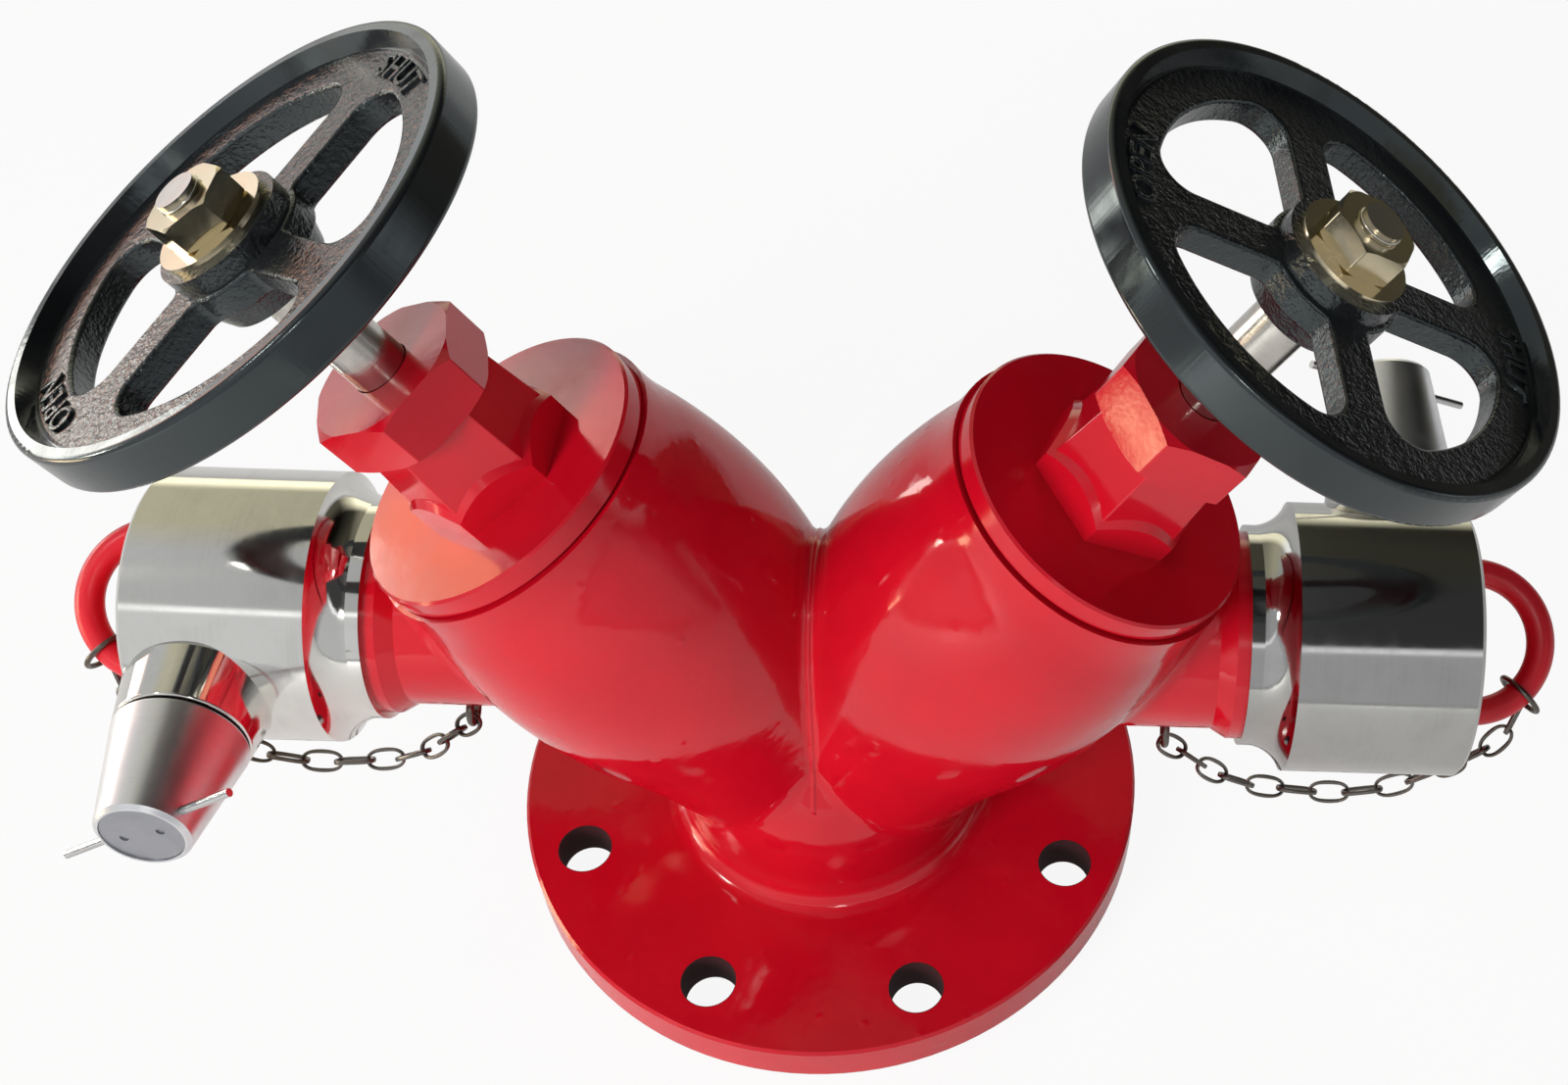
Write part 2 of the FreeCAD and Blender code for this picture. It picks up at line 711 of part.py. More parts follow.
# Bonnet: a disc with a screwed skirt, a hexagon that tapers to a round neck, and the gland on top.
def bonnet(side):
    stem = stem_frame(side)
    gasket_foot = d.head_top
    disc_foot = gasket_foot + d.gasket_t
    disc_top = disc_foot + d.bonnet_t
    spigot_r = d.chamber_d / 2 - d.static_gap
    spigot_foot = d.head_top - d.bonnet_spigot_depth
    gasket = turned(side + "_gasket", [
        (d.chamber_d / 2, gasket_foot),
        (d.gasket_d / 2, gasket_foot),
        (d.gasket_d / 2, disc_foot),
        (d.chamber_d / 2, disc_foot),
    ], stem)
    keep(gasket, side + "_bonnet_gasket")
    roof = disc_foot - d.bonnet_roof_t
    boss_foot = disc_top - d.bonnet_boss_depth
    lower = turned(side + "_bonnet_disc", [
        (0, boss_foot),
        (d.bonnet_boss_d / 2, boss_foot),
        (d.bonnet_boss_d / 2, roof),
        (spigot_r - d.bonnet_wall, roof),
        (spigot_r - d.bonnet_wall, spigot_foot),
        (spigot_r, spigot_foot),
        (spigot_r, disc_foot),
        (d.bonnet_d / 2, disc_foot),
        (d.bonnet_d / 2, disc_top - d.bonnet_edge),
        (d.bonnet_d / 2 - d.bonnet_edge, disc_top),
        (0, disc_top),
    ], stem)
    flats = turned_about(stem, sheet.get(side + "_bonnet_turn"))
    hex_corner = d.bonnet_hex_af / math.sqrt(3)
    hex_top = disc_top + d.bonnet_hex_h + d.bonnet_taper_h
    prism = hexagon(side + "_bonnet_hexagon", d.bonnet_hex_af, disc_top, hex_top, flats)
    block = softened(side + "_bonnet_flats", prism, flats)
    taper = turned(side + "_bonnet_taper", [
        (0, disc_top),
        (hex_corner, disc_top),
        (hex_corner, disc_top + d.bonnet_hex_h),
        (d.bonnet_hex_top_d / 2, hex_top),
        (0, hex_top),
    ], stem)
    pyramid = hex_taper(side + "_bonnet_pyramid", d.bonnet_neck_foot_af, d.bonnet_neck_af,
                        disc_top + d.bonnet_hex_h, d.gland_foot, flats)
    neck = softened(side + "_bonnet_neck", pyramid, flats)
    spigot = rod(side + "_gland_spigot", d.gland_spigot_d, d.gland_foot,
                 d.gland_foot + d.gland_spigot_h, stem)
    blank = fused(side + "_bonnet_blank", lower, common(side + "_bonnet_collar", block, taper), neck, spigot)
    bore = turned(side + "_bonnet_bore", [
        (0, boss_foot),
        (d.thread_d / 2 + d.running_gap, boss_foot),
        (d.thread_d / 2 + d.running_gap, d.thread_bore_top),
        (d.spindle_d / 2 + d.running_gap, d.thread_bore_top),
        (d.spindle_d / 2 + d.running_gap, d.packing_floor),
        (d.packing_d / 2, d.packing_floor),
        (d.packing_d / 2, d.gland_foot + d.gland_spigot_h),
        (0, d.gland_foot + d.gland_spigot_h),
    ], stem)
    keep(cut(side + "_bonnet_whole", blank, bore), side + "_bonnet")


def gland(side):
    stem = stem_frame(side)
    packing_top = d.packing_floor + d.packing_h
    stem_r = d.spindle_d / 2 + d.running_gap
    packing_r = d.packing_d / 2
    packing = turned(side + "_packing", [
        (stem_r, d.packing_floor),
        (packing_r, d.packing_floor),
        (packing_r, packing_top),
        (stem_r, packing_top),
    ], stem)
    keep(packing, side + "_gland_packing")
    nut_top = d.gland_foot + d.gland_nut_h
    roof = nut_top - d.gland_nut_roof
    follower = turned(side + "_follower", [
        (stem_r, packing_top),
        (packing_r - d.static_gap, packing_top),
        (packing_r - d.static_gap, roof),
        (stem_r, roof),
    ], stem)
    keep(follower, side + "_gland_follower")
    flats = turned_about(stem, sheet.get(side + "_gland_turn"))
    nut = hex_nut(side + "_gland_nut_solid", d.gland_nut_af, d.gland_foot, nut_top, d.gland_nut_bevel,
                  d.spindle_d + d.loose_gap * 2, flats)
    thread = rod(side + "_gland_nut_thread", d.gland_spigot_d + d.static_gap, d.gland_foot, roof, stem)
    keep(cut(side + "_gland_nut_whole", nut, thread), side + "_gland_nut")


# Handwheel: a deep rim with a recessed web, windows between the spokes and a tapering hub.
def window_block():
    """The space between two spokes, with rounded corners, ready to be cut right through the wheel."""
    half = d.spoke_w.value / 2
    outer = d.window_outer_d.value / 2
    inner = (d.hub_d / 2 + d.window_stand).value
    reach = math.sqrt(outer ** 2 - half ** 2)
    root = math.sqrt(inner ** 2 - half ** 2)
    slant = math.sqrt(0.5)
    edges = [
        Part.LineSegment(Vector(root, half, 0), Vector(reach, half, 0)),
        Part.Arc(Vector(reach, half, 0), Vector(outer * slant, outer * slant, 0), Vector(half, reach, 0)),
        Part.LineSegment(Vector(half, reach, 0), Vector(half, root, 0)),
        Part.Arc(Vector(half, root, 0), Vector(inner * slant, inner * slant, 0), Vector(root, half, 0)),
    ]
    face = Part.Face(Part.Wire([edge.toShape() for edge in edges]))
    depth = d.hub_top.value - d.hub_foot.value
    block = face.extrude(Vector(0, 0, depth))
    middle = (inner + outer) / 2
    far = [edge for edge in upright(block, depth) if off_axis(edge) > middle]
    block = block.makeFillet(d.window_corner.value, far)
    near = [edge for edge in upright(block, depth) if off_axis(edge) < inner + 1e-6]
    return block.makeFillet(d.window_root.value, near)


def upright(block, depth):
    return [edge for edge in block.Edges if abs(edge.BoundBox.ZLength - depth) < 1e-6]


def off_axis(edge):
    return math.hypot(edge.BoundBox.Center.x, edge.BoundBox.Center.y)


def window_edges(shape, frame, levels):
    """The edges where the windows break through the two faces of the web."""
    nearest = (d.hub_d / 2 + d.window_stand / 2).value
    furthest = (d.window_outer_d / 4 + d.wheel_d / 4 - d.rim_lip / 2).value
    to_wheel = frame.inverse()
    chosen = []
    for number, edge in enumerate(shape.Edges, start=1):
        first, last = edge.FirstParameter, edge.LastParameter
        points = [to_wheel.multVec(edge.valueAt(at)) for at in (first, (first + last) / 2, last)]
        level = any(all(abs(point.z - height.value) < 1e-4 for point in points) for height in levels)
        if level and nearest < math.hypot(points[1].x, points[1].y) < furthest:
            chosen.append((number, d.window_edge.value, d.window_edge.value))
    return chosen


def handwheel(side):
    stem = wheel_frame(side)
    rim_top = d.wheel_foot + d.rim_h
    web_top = rim_top - d.web_recess
    wheel_r = d.wheel_d / 2
    lip_r = wheel_r - d.rim_lip
    blank = turned(side + "_wheel_blank", [
        (0, d.hub_foot),
        (d.hub_foot_d / 2, d.hub_foot),
        (d.hub_d / 2, web_top - d.web_t),
        (lip_r, web_top - d.web_t),
        (lip_r, d.wheel_foot),
        (wheel_r - d.rim_edge, d.wheel_foot),
        (wheel_r, d.wheel_foot + d.rim_edge, d.rim_edge),
        (wheel_r, rim_top - d.rim_edge),
        (wheel_r - d.rim_edge, rim_top, d.rim_edge),
        (lip_r + d.rim_edge, rim_top),
        (lip_r, web_top),
        (d.hub_d / 2, web_top),
        (d.hub_d / 2, d.hub_top),
        (0, d.hub_top),
    ], stem)
    windows = [feature("%s_window_%d" % (side, quarter + 1), window_block(),
                       turned_about(lifted(stem, d.hub_foot), 90.0 * quarter)) for quarter in range(4)]
    socket = square_bar(side + "_wheel_square", d.square_af, d.hub_foot, d.hub_top, stem)
    pierced = cut(side + "_wheel", blank, socket, *windows)
    doc.recompute()
    eased = doc.addObject("Part::Fillet", side + "_wheel_eased")
    eased.Base = pierced
    eased.Edges = window_edges(pierced.Shape, stem, (web_top, web_top - d.web_t))
    keep(eased, side + "_handwheel")
    washer_top = d.hub_top + d.wheel_washer_t
    washer = turned(side + "_washer", [
        (d.stud_d / 2 + d.static_gap, d.hub_top),
        (d.wheel_washer_d / 2, d.hub_top),
        (d.wheel_washer_d / 2, washer_top),
        (d.stud_d / 2 + d.static_gap, washer_top),
    ], stem)
    keep(washer, side + "_wheel_washer")
    nut = hex_nut(side + "_wheel_nut_solid", d.wheel_nut_af, washer_top, washer_top + d.wheel_nut_h,
                  d.nut_bevel, d.stud_d + d.static_gap * 2, stem)
    keep(nut, side + "_wheel_nut")


# Coupling: a screwed tail, a flared neck and a deep socket, with a side housing for the lug.
def coupling(side):
    outlet = outlet_frame(side)
    lug = lug_frame(side)
    tail_start = d.outlet_end - d.socket_depth
    shell_r = d.coupling_d / 2
    washer_floor = d.mouth_floor - d.hose_washer_t
    shell = turned(side + "_coupling_shell", [
        (0, tail_start),
        (d.socket_d / 2 - d.static_gap, tail_start),
        (d.socket_d / 2 - d.static_gap, d.outlet_end),
        (d.coupling_neck_d / 2, d.outlet_end),
        (d.coupling_neck_d / 2, d.outlet_end + d.coupling_neck_h),
        (shell_r, d.coupling_shoulder, -d.coupling_flare),
        (shell_r, d.coupling_end - d.coupling_edge),
        (shell_r - d.coupling_edge, d.coupling_end),
        (0, d.coupling_end),
    ], outlet)
    core = turned(side + "_coupling_core", [
        (0, tail_start),
        (d.outlet_bore_d / 2, tail_start),
        (d.outlet_bore_d / 2, washer_floor),
        (d.hose_washer_d / 2, washer_floor),
        (d.hose_washer_d / 2, d.mouth_floor),
        (d.mouth_d / 2, d.mouth_floor),
        (d.mouth_d / 2, d.coupling_end),
        (0, d.coupling_end),
    ], outlet)
    wall_middle = (d.coupling_d + d.mouth_d) / 4
    boss = turned(side + "_lug_boss", [
        (0, wall_middle),
        (d.boss_foot_d / 2, wall_middle),
        (d.boss_d / 2, d.boss_top - d.boss_rim),
        (d.boss_d / 2 - d.boss_rim, d.boss_top, d.boss_rim),
        (0, d.boss_top),
    ], lug)
    faced = rod(side + "_end_facing", d.coupling_d + d.boss_foot_d, d.coupling_end, d.coupling_end + d.boss_d,
                outlet)
    housing = rod(side + "_lug_housing", d.housing_d, wall_middle, d.housing_top, lug)
    lug_hole = rod(side + "_lug_hole", d.lug_bore_d, d.lug_tip, d.housing_top, lug)
    outside = fused(side + "_coupling_outside", shell, boss, housing)
    keep(cut(side + "_coupling_whole", outside, core, lug_hole, faced), side + "_coupling")
    washer = turned(side + "_hose_washer_ring", [
        (d.hose_washer_bore_d / 2, washer_floor),
        (d.hose_washer_d / 2, washer_floor),
        (d.hose_washer_d / 2, d.mouth_floor),
        (d.hose_washer_bore_d / 2, d.mouth_floor),
    ], outlet)
    keep(washer, side + "_hose_washer")


# Lug: a sprung plunger that snaps into the cap's groove and is pulled out by its knob.
def plate_foot():
    return d.knob_end - d.plate_t


def pin_frame(side):
    """The cross pin's place: its Z runs across the knob."""
    sideways = turned_about(lifted(lug_frame(side), d.knob_end - d.pin_depth), d.pin_turn)
    return sideways.multiply(Placement(Vector(), Rotation(Vector(0, 1, 0), 90)))


def pin_hole(name, side):
    return rod(name, d.pin_d + d.static_gap, -d.pin_reach, d.pin_reach, pin_frame(side))


def lug_plunger(side):
    lug = lug_frame(side)
    lug_r = d.lug_bore_d / 2 - d.running_gap
    stem_r = d.lug_stem_d / 2
    plunger = turned(side + "_plunger", [
        (0, d.lug_tip),
        (lug_r - d.lug_bevel, d.lug_tip),
        (lug_r, d.lug_tip + d.lug_bevel),
        (lug_r, d.lug_shoulder),
        (stem_r, d.lug_shoulder),
        (stem_r, plate_foot() - d.loose_gap),
        (0, plate_foot() - d.loose_gap),
    ], lug)
    drilled = cut(side + "_plunger_drilled", plunger, pin_hole(side + "_plunger_pin_hole", side))
    keep(drilled, side + "_lug_plunger")
    cap_foot = d.housing_top - d.spring_cap_depth
    cap_top = d.housing_top + d.spring_cap_t
    cap = turned(side + "_spring_stop", [
        (stem_r + d.running_gap, cap_foot),
        (d.lug_bore_d / 2 - d.static_gap, cap_foot),
        (d.lug_bore_d / 2 - d.static_gap, d.housing_top),
        (d.housing_d / 2, d.housing_top),
        (d.housing_d / 2, cap_top),
        (stem_r + d.running_gap, cap_top),
    ], lug)
    keep(cap, side + "_spring_cap")
    first_turn = d.lug_shoulder + d.spring_wire / 2 + d.static_gap
    keep(feature(side + "_spring", spring_coil(), lifted(lug, first_turn)), side + "_lug_spring")


def spring_coil():
    """A coil of square wire between the plunger's shoulder and the spring cap."""
    length = d.housing_top.value - d.spring_cap_depth.value - d.lug_shoulder.value
    wire = d.spring_wire.value
    radius = d.spring_coil_d.value / 2
    rise = length - wire - 2 * d.static_gap.value
    helix = Part.makeHelix(rise / d.spring_turns.value, rise, radius)
    half = wire / 2
    corners = [Vector(radius - half, 0, -half), Vector(radius + half, 0, -half),
               Vector(radius + half, 0, half), Vector(radius - half, 0, half)]
    section = Part.makePolygon(corners + corners[:1])
    return Part.Wire(helix).makePipeShell([section], True, True)


def lug_knob(side):
    lug = lug_frame(side)
    knob_foot = d.boss_top + d.knob_gap
    cone = turned(side + "_knob_cone", [
        (0, knob_foot),
        (d.knob_foot_d / 2 - d.knob_foot_edge, knob_foot),
        (d.knob_foot_d / 2, knob_foot + d.knob_foot_edge, d.knob_foot_edge),
        (d.knob_end_d / 2, d.knob_end - d.knob_rim),
        (d.knob_end_d / 2 - d.knob_rim, d.knob_end),
        (0, d.knob_end),
    ], lug)
    hollow = turned(side + "_knob_hollow", [
        (0, knob_foot),
        (d.knob_bore_d / 2, knob_foot),
        (d.knob_bore_d / 2, d.knob_bore_top - d.knob_bore_d / 4),
        (d.lug_stem_d / 2 + d.static_gap, d.knob_bore_top),
        (d.lug_stem_d / 2 + d.static_gap, plate_foot()),
        (d.plate_d / 2 + d.static_gap, plate_foot()),
        (d.plate_d / 2 + d.static_gap, d.knob_end),
        (0, d.knob_end),
    ], lug)
    keep(cut(side + "_knob", cone, hollow, pin_hole(side + "_knob_pin_hole", side)), side + "_lug_knob")
    keep(rod(side + "_pin", d.pin_d, -d.pin_reach, d.pin_reach, pin_frame(side)), side + "_knob_pin")
    plate = rod(side + "_plate_disc", d.plate_d, plate_foot(), d.knob_end - d.knob_rim / 2, lug)
    holes = []
    for index, sign in enumerate((-1.0, 1.0)):
        beside = Placement(Vector(sign * d.spanner_hole_gap.value / 2, 0, 0), Rotation())
        seat = turned_about(lug, d.spanner_turn).multiply(beside)
        hole = "%s_spanner_hole_%d" % (side, index + 1)
        holes.append(rod(hole, d.spanner_hole_d, d.knob_end - d.plate_t / 2, d.knob_end, seat))
    keep(cut(side + "_plate", plate, *holes), side + "_knob_plate")


# Blank cap: a hollow plug with a lug groove and an arched handle.
def handle_frame(side):
    turn = Rotation(Vector(0, 0, 1), -(90.0 - sheet.get(side + "_handle_turn")) + 180.0)
    return outlet_frame(side).multiply(Placement(Vector(), turn))


def blank_cap(side):
    outlet = outlet_frame(side)
    plug_r = d.mouth_d / 2 - d.static_gap
    foot = d.mouth_floor
    groove_start = d.lug_station - d.cap_groove_w / 2
    groove_end = d.lug_station + d.cap_groove_w / 2
    plug = turned(side + "_plug", [
        (0, foot + d.cap_hollow),
        (plug_r - d.cap_wall - d.cap_wall / 2, foot + d.cap_hollow),
        (plug_r - d.cap_wall, foot),
        (plug_r, foot),
        (plug_r, groove_start),
        (d.cap_groove_d / 2, groove_start),
        (d.cap_groove_d / 2, groove_end),
        (plug_r, groove_end),
        (plug_r, d.cap_face),
        (0, d.cap_face),
    ], outlet)
    frame = handle_frame(side)
    arch = doc.addObject("Part::Torus", side + "_handle_arch")
    arch.setExpression("Radius1", (d.handle_span / 2).formula)
    arch.setExpression("Radius2", (d.handle_rod_d / 2).formula)
    arch.Angle3 = 180
    stand = Placement(Vector(0, 0, d.cap_face.value + d.handle_leg.value), Rotation(Vector(1, 0, 0), 90))
    arch.Placement = frame.multiply(stand)
    legs = []
    for index, sign in enumerate((-1.0, 1.0)):
        foot_place = Placement(Vector(sign * d.handle_span.value / 2, 0, 0), Rotation())
        legs.append(rod("%s_handle_leg_%d" % (side, index + 1), d.handle_rod_d, d.cap_face - d.cap_wall / 2,
                        d.cap_face + d.handle_leg, frame.multiply(foot_place)))
    keep(fused(side + "_cap", plug, arch, *legs), side + "_blank_cap")


# Chain: links hung one through the next from the eye to a ring on the cap's handle.
CHAIN_SAG = [(122.0, -16.5, 59.0), (133.0, -15.5, 47.0), (146.0, -14.5, 38.5), (160.0, -14.0, 35.0),
             (175.0, -14.0, 34.0), (190.0, -14.0, 37.0), (203.0, -14.5, 46.0), (214.0, -16.5, 60.0),
             (222.5, -18.5, 75.0)]
RING_AT = 45.0


def ring_frame(side):
    """The ring's place on the handle: its Z runs along the rod, its X points the way the ring hangs."""
    radius = d.handle_span.value / 2
    angle = math.radians(RING_AT)
    height = d.cap_face.value + d.handle_leg.value + radius * math.sin(angle)
    frame = handle_frame(side)
    on_rod = frame.multVec(Vector(-radius * math.cos(angle), 0, height))
    along = frame.Rotation.multVec(Vector(math.sin(angle), 0, math.cos(angle)))
    down = Vector(0, 0, -1) - along * along.dot(Vector(0, 0, -1))
    down.normalize()
    drop = d.ring_d / 2 - d.ring_wire / 2 - d.handle_rod_d / 2 - d.static_gap
    return Placement(on_rod + down * drop.value, Rotation(down, Vector(), along, "ZXY"))


def link(inner_length, inner_width, wire, bends):
    """A chain link of six-sided wire, its two ends bent in a few straight steps."""
    bend = (inner_width + wire) / 2
    end_flat = bend * math.cos(math.radians(90.0 / bends))
    half = (inner_length + wire) / 2 - end_flat
    sections = []
    for end in (1, -1):
        for step in range(bends + 1):
            angle = math.radians(-90.0 + 180.0 * step / bends + (0.0 if end == 1 else 180.0))
            outward = Vector(math.cos(angle), math.sin(angle), 0)
            middle = Vector(end * half, 0, 0) + outward * bend
            ring = []
            for corner in range(6):
                turn = math.radians(60.0 * corner)
                rise = Vector(0, 0, wire / 2 * math.sin(turn))
                ring.append(middle + outward * (wire / 2 * math.cos(turn)) + rise)
            sections.append(Part.makePolygon(ring + ring[:1]))
    return Part.makeLoft(sections, True, True, True)


def chain(side):
    mirror = 1.0 if side == "right" else -1.0
    eye_reach = d.outlet_d / 2 + d.eye_stand + d.eye_wire * 1.5 + d.eye_ring_d
    start = eye_frame(side).multVec(Vector(0, 0, eye_reach.value))
    hung = ring_frame(side)
    finish = hung.multVec(Vector(d.ring_d.value / 2, 0, 0))
    sag = [Vector(mirror * x, y, z) for x, y, z in CHAIN_SAG]
    line = Part.BSplineCurve()
    line.interpolate([start] + sag + [finish])
    length = line.toShape().Length
    slack = (d.eye_wire.value + d.ring_wire.value) / 2 + 2 * d.loose_gap.value - d.link_play.value
    count = 2 * round((length + slack) / d.link_pitch.value / 2)
    pitch = (length + slack) / count
    inner = pitch + d.link_play.value
    first = inner / 2 - d.eye_wire.value / 2 - d.loose_gap.value
    links = []
    for index in range(count):
        at = line.parameterAtDistance(first + index * pitch, line.FirstParameter)
        along = line.tangent(at)[0]
        roll = Rotation(along, mirror * (45.0 if index % 2 else -45.0))
        flat = roll.multVec(along.cross(Vector(0, 1, 0)))
        item = link(inner, d.link_inner_w.value, d.link_wire.value, 3)
        item.Placement = Placement(line.value(at), Rotation(along, flat, Vector(), "XYZ"))
        links.append(item)
    ring = Part.makeTorus(d.ring_d.value / 2, d.ring_wire.value / 2)
    ring.Placement = hung
    hung = feature(side + "_chain_links", Part.makeCompound(links + [ring]), Placement())
    return keep(hung, side + "_chain")


casting()
for side in SIDES:
    seat_and_disc(side)
    spindle(side)
    bonnet(side)
    gland(side)
    handwheel(side)
    coupling(side)
    lug_plunger(side)
    lug_knob(side)
    blank_cap(side)
    chain_eye(side)
    chain(side)

doc.recompute()

for item in doc.Objects:
    if "Invalid" in item.State or "Error" in item.State:
        raise RuntimeError("%s did not build: %s" % (item.Label, item.State))
for item in nodes:
    if item.Shape.isNull() or not item.Shape.isValid():
        raise RuntimeError("%s has no valid shape" % item.Label)

os.makedirs("parts", exist_ok=True)
for item in nodes:
    item.Shape.exportStep(os.path.join("parts", item.Label + ".step"))
    print("%-24s %10.0f mm3  %d solid" % (item.Label, item.Shape.Volume, len(item.Shape.Solids)))
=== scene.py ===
# %% [markdown]
# # Twin-head hydrant valve
# A red painted casting carries two inclined screw-down valves with black handwheels, and two
# bright couplings closed by caps on chains. The solids come from the part's own CAD frame,
# already in place and in metres. Blender's job here is the finish: paint, plating and turned
# metal, and the small cast and cut details.

# %% Load the frame
import math

import bmesh
import bpy
from mathutils import Matrix, Vector


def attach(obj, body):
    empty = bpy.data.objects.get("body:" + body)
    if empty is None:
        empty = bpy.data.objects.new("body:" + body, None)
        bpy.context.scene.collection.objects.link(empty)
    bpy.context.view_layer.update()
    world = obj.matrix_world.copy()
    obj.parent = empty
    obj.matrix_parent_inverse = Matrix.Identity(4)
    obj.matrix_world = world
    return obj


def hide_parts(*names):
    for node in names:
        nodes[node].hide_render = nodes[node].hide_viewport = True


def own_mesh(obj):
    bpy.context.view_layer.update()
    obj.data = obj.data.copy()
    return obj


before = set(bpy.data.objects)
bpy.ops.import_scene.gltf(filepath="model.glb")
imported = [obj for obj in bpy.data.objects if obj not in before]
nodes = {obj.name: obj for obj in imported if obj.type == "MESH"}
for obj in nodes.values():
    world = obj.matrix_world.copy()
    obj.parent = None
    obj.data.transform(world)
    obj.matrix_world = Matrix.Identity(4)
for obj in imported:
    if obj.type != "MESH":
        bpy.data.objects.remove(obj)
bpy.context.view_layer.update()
SIDES = ("right", "left")
MM = 0.001

# %% [markdown]
# ## The camera
# The valve is seen from the front and well above, so both wheels are read as tilted rings. The
# lens and the place were found by fitting the flange, its holes and the wheels' rims, and the
# shift is what the framing needs. A camera's columns are its right, its up and its back, and a
# turn about its own Z is the tilt of the hand.

# %% Camera
IMAGE_WIDTH = 1600
SENSOR_WIDTH = 36.0
FOCAL_PIXELS = 2005.5
CENTRE_OFFSET = (266.8, 14.7)
CAMERA_AT = Vector((64.9, -377.6, 615.0)) * MM
AZIMUTH, ELEVATION, HAND_TILT = (math.radians(angle) for angle in (-1.1, 51.4, 2.7))
NEAREST, FARTHEST = 0.01, 60.0

level_share = math.cos(ELEVATION)
back = Vector((math.sin(AZIMUTH) * level_share, -math.cos(AZIMUTH) * level_share,
               math.sin(ELEVATION)))
right = Vector((math.cos(AZIMUTH), math.sin(AZIMUTH), 0))
level = Matrix((right, back.cross(right), back)).transposed()
tilted = level @ Matrix.Rotation(HAND_TILT, 3, "Z")
lens = bpy.data.cameras.new("camera")
lens.sensor_fit = "HORIZONTAL"
lens.sensor_width = SENSOR_WIDTH
lens.lens = FOCAL_PIXELS * SENSOR_WIDTH / IMAGE_WIDTH
lens.shift_x = -CENTRE_OFFSET[0] / IMAGE_WIDTH
lens.shift_y = CENTRE_OFFSET[1] / IMAGE_WIDTH
lens.clip_start = NEAREST
lens.clip_end = FARTHEST
camera = bpy.data.objects.new("camera", lens)
camera.matrix_world = Matrix.Translation(CAMERA_AT) @ tilted.to_4x4()
bpy.context.scene.collection.objects.link(camera)
bpy.context.scene.camera = camera
print("lens:", round(lens.lens, 1), "mm")

# %% [markdown]
# ## Small helpers for shader nodes
# Every material below is a handful of nodes. A few short helpers keep the wiring readable. The
# first adds a node and fills its inputs with numbers or with other nodes' outputs, and the rest
# are short words for the nodes that come back most often.


# %% Node helpers
def add(tree, kind, inputs=None, **settings):
    """A new node, with its settings and its inputs: a socket is linked, the rest are values."""
    made = tree.nodes.new("ShaderNode" + kind)
    for name, value in settings.items():
        setattr(made, name, value)
    for name, value in (inputs or {}).items():
        if isinstance(value, bpy.types.NodeSocket):
            tree.links.new(value, made.inputs[name])
        else:
            made.inputs[name].default_value = value
    return made


def maths(tree, operation, first, second=0.0):
    """One Math node's result."""
    return add(tree, "Math", {0: first, 1: second}, operation=operation).outputs[0]


def times(tree, first, second):
    return maths(tree, "MULTIPLY", first, second)


def spread(tree, value, low, high, to_low=0.0, to_high=1.0):
    """A value read between low and high, clamped, and given back between to_low and to_high."""
    wanted = {"Value": value, "From Min": low, "From Max": high,
              "To Min": to_low, "To Max": to_high}
    return add(tree, "MapRange", wanted, clamp=True).outputs["Result"]


def noise(tree, point, scale, detail, **more):
    """A noise pattern's value. The keywords are other sockets of its node."""
    wanted = {"Vector": point, "Scale": scale, "Detail": detail, **more}
    return add(tree, "TexNoise", wanted).outputs["Fac"]


def from_axis(tree, point):
    """A point's coordinates, the point laid flat, and its distance from the Z axis."""
    at = add(tree, "SeparateXYZ", {"Vector": point}).outputs
    flat = add(tree, "CombineXYZ", {"X": at["X"], "Y": at["Y"]}).outputs["Vector"]
    reach = add(tree, "VectorMath", {0: flat}, operation="LENGTH").outputs["Value"]
    return at, flat, reach


def blend_colours(tree, factor, first, second):
    """The first colour where the factor is 0, the second where it is 1."""
    return add(tree, "Mix", {0: factor, 6: first, 7: second}, data_type="RGBA").outputs[2]


def open_group(name, inputs, outputs):
    """A node group with its sockets, and the two nodes that stand for its inside ends."""
    group = bpy.data.node_groups.new(name, "ShaderNodeTree")
    for socket, (kind, default) in inputs.items():
        made = group.interface.new_socket(socket, in_out="INPUT",
                                          socket_type="NodeSocket" + kind)
        if default is not None:
            made.default_value = default
    for socket, kind in outputs.items():
        group.interface.new_socket(socket, in_out="OUTPUT", socket_type="NodeSocket" + kind)
    inside = group.nodes.new("NodeGroupInput").outputs
    return group, inside, group.nodes.new("NodeGroupOutput").inputs


def place_group(tree, group, inputs):
    return add(tree, "Group", inputs, node_tree=group).outputs


def rgba(red, green, blue):
    return (red, green, blue, 1.0)


# %% [markdown]
# ## Where the turned parts stand
# Each head, outlet and knob was turned about its own axis, and lathe marks follow that axis. A
# frame is a matrix whose Z runs outward along the axis. Its inverse goes into a Mapping node, so
# that a pattern made about Z lies on the tilted piece. The left side is the right side after half
# a turn about the upright axis, but each knob and each wheel stands at an angle of its own, and the
# wheels sit at different heights on their stems.

# %% Frames
STEM_CROSS = 26.0 * MM
STEM_TILT = 31.0
OUTLET_HEIGHT = 105.0 * MM
LUG_STATION = 186.0 * MM
LUG_TURN = {"right": 22.0, "left": 6.0}
WHEEL_TURN = {"right": 7.0, "left": -36.0}
WHEEL_RISE = {"right": 2.5 * MM, "left": -1.5 * MM}


def turn(degrees, axis):
    return Matrix.Rotation(math.radians(degrees), 4, axis)


def shift(x, y, z):
    return Matrix.Translation((x, y, z))


def side_frame(side):
    return turn(180.0 if side == "left" else 0.0, "Z")


def stem_frame(side):
    return side_frame(side) @ shift(0, 0, STEM_CROSS) @ turn(STEM_TILT, "Y")


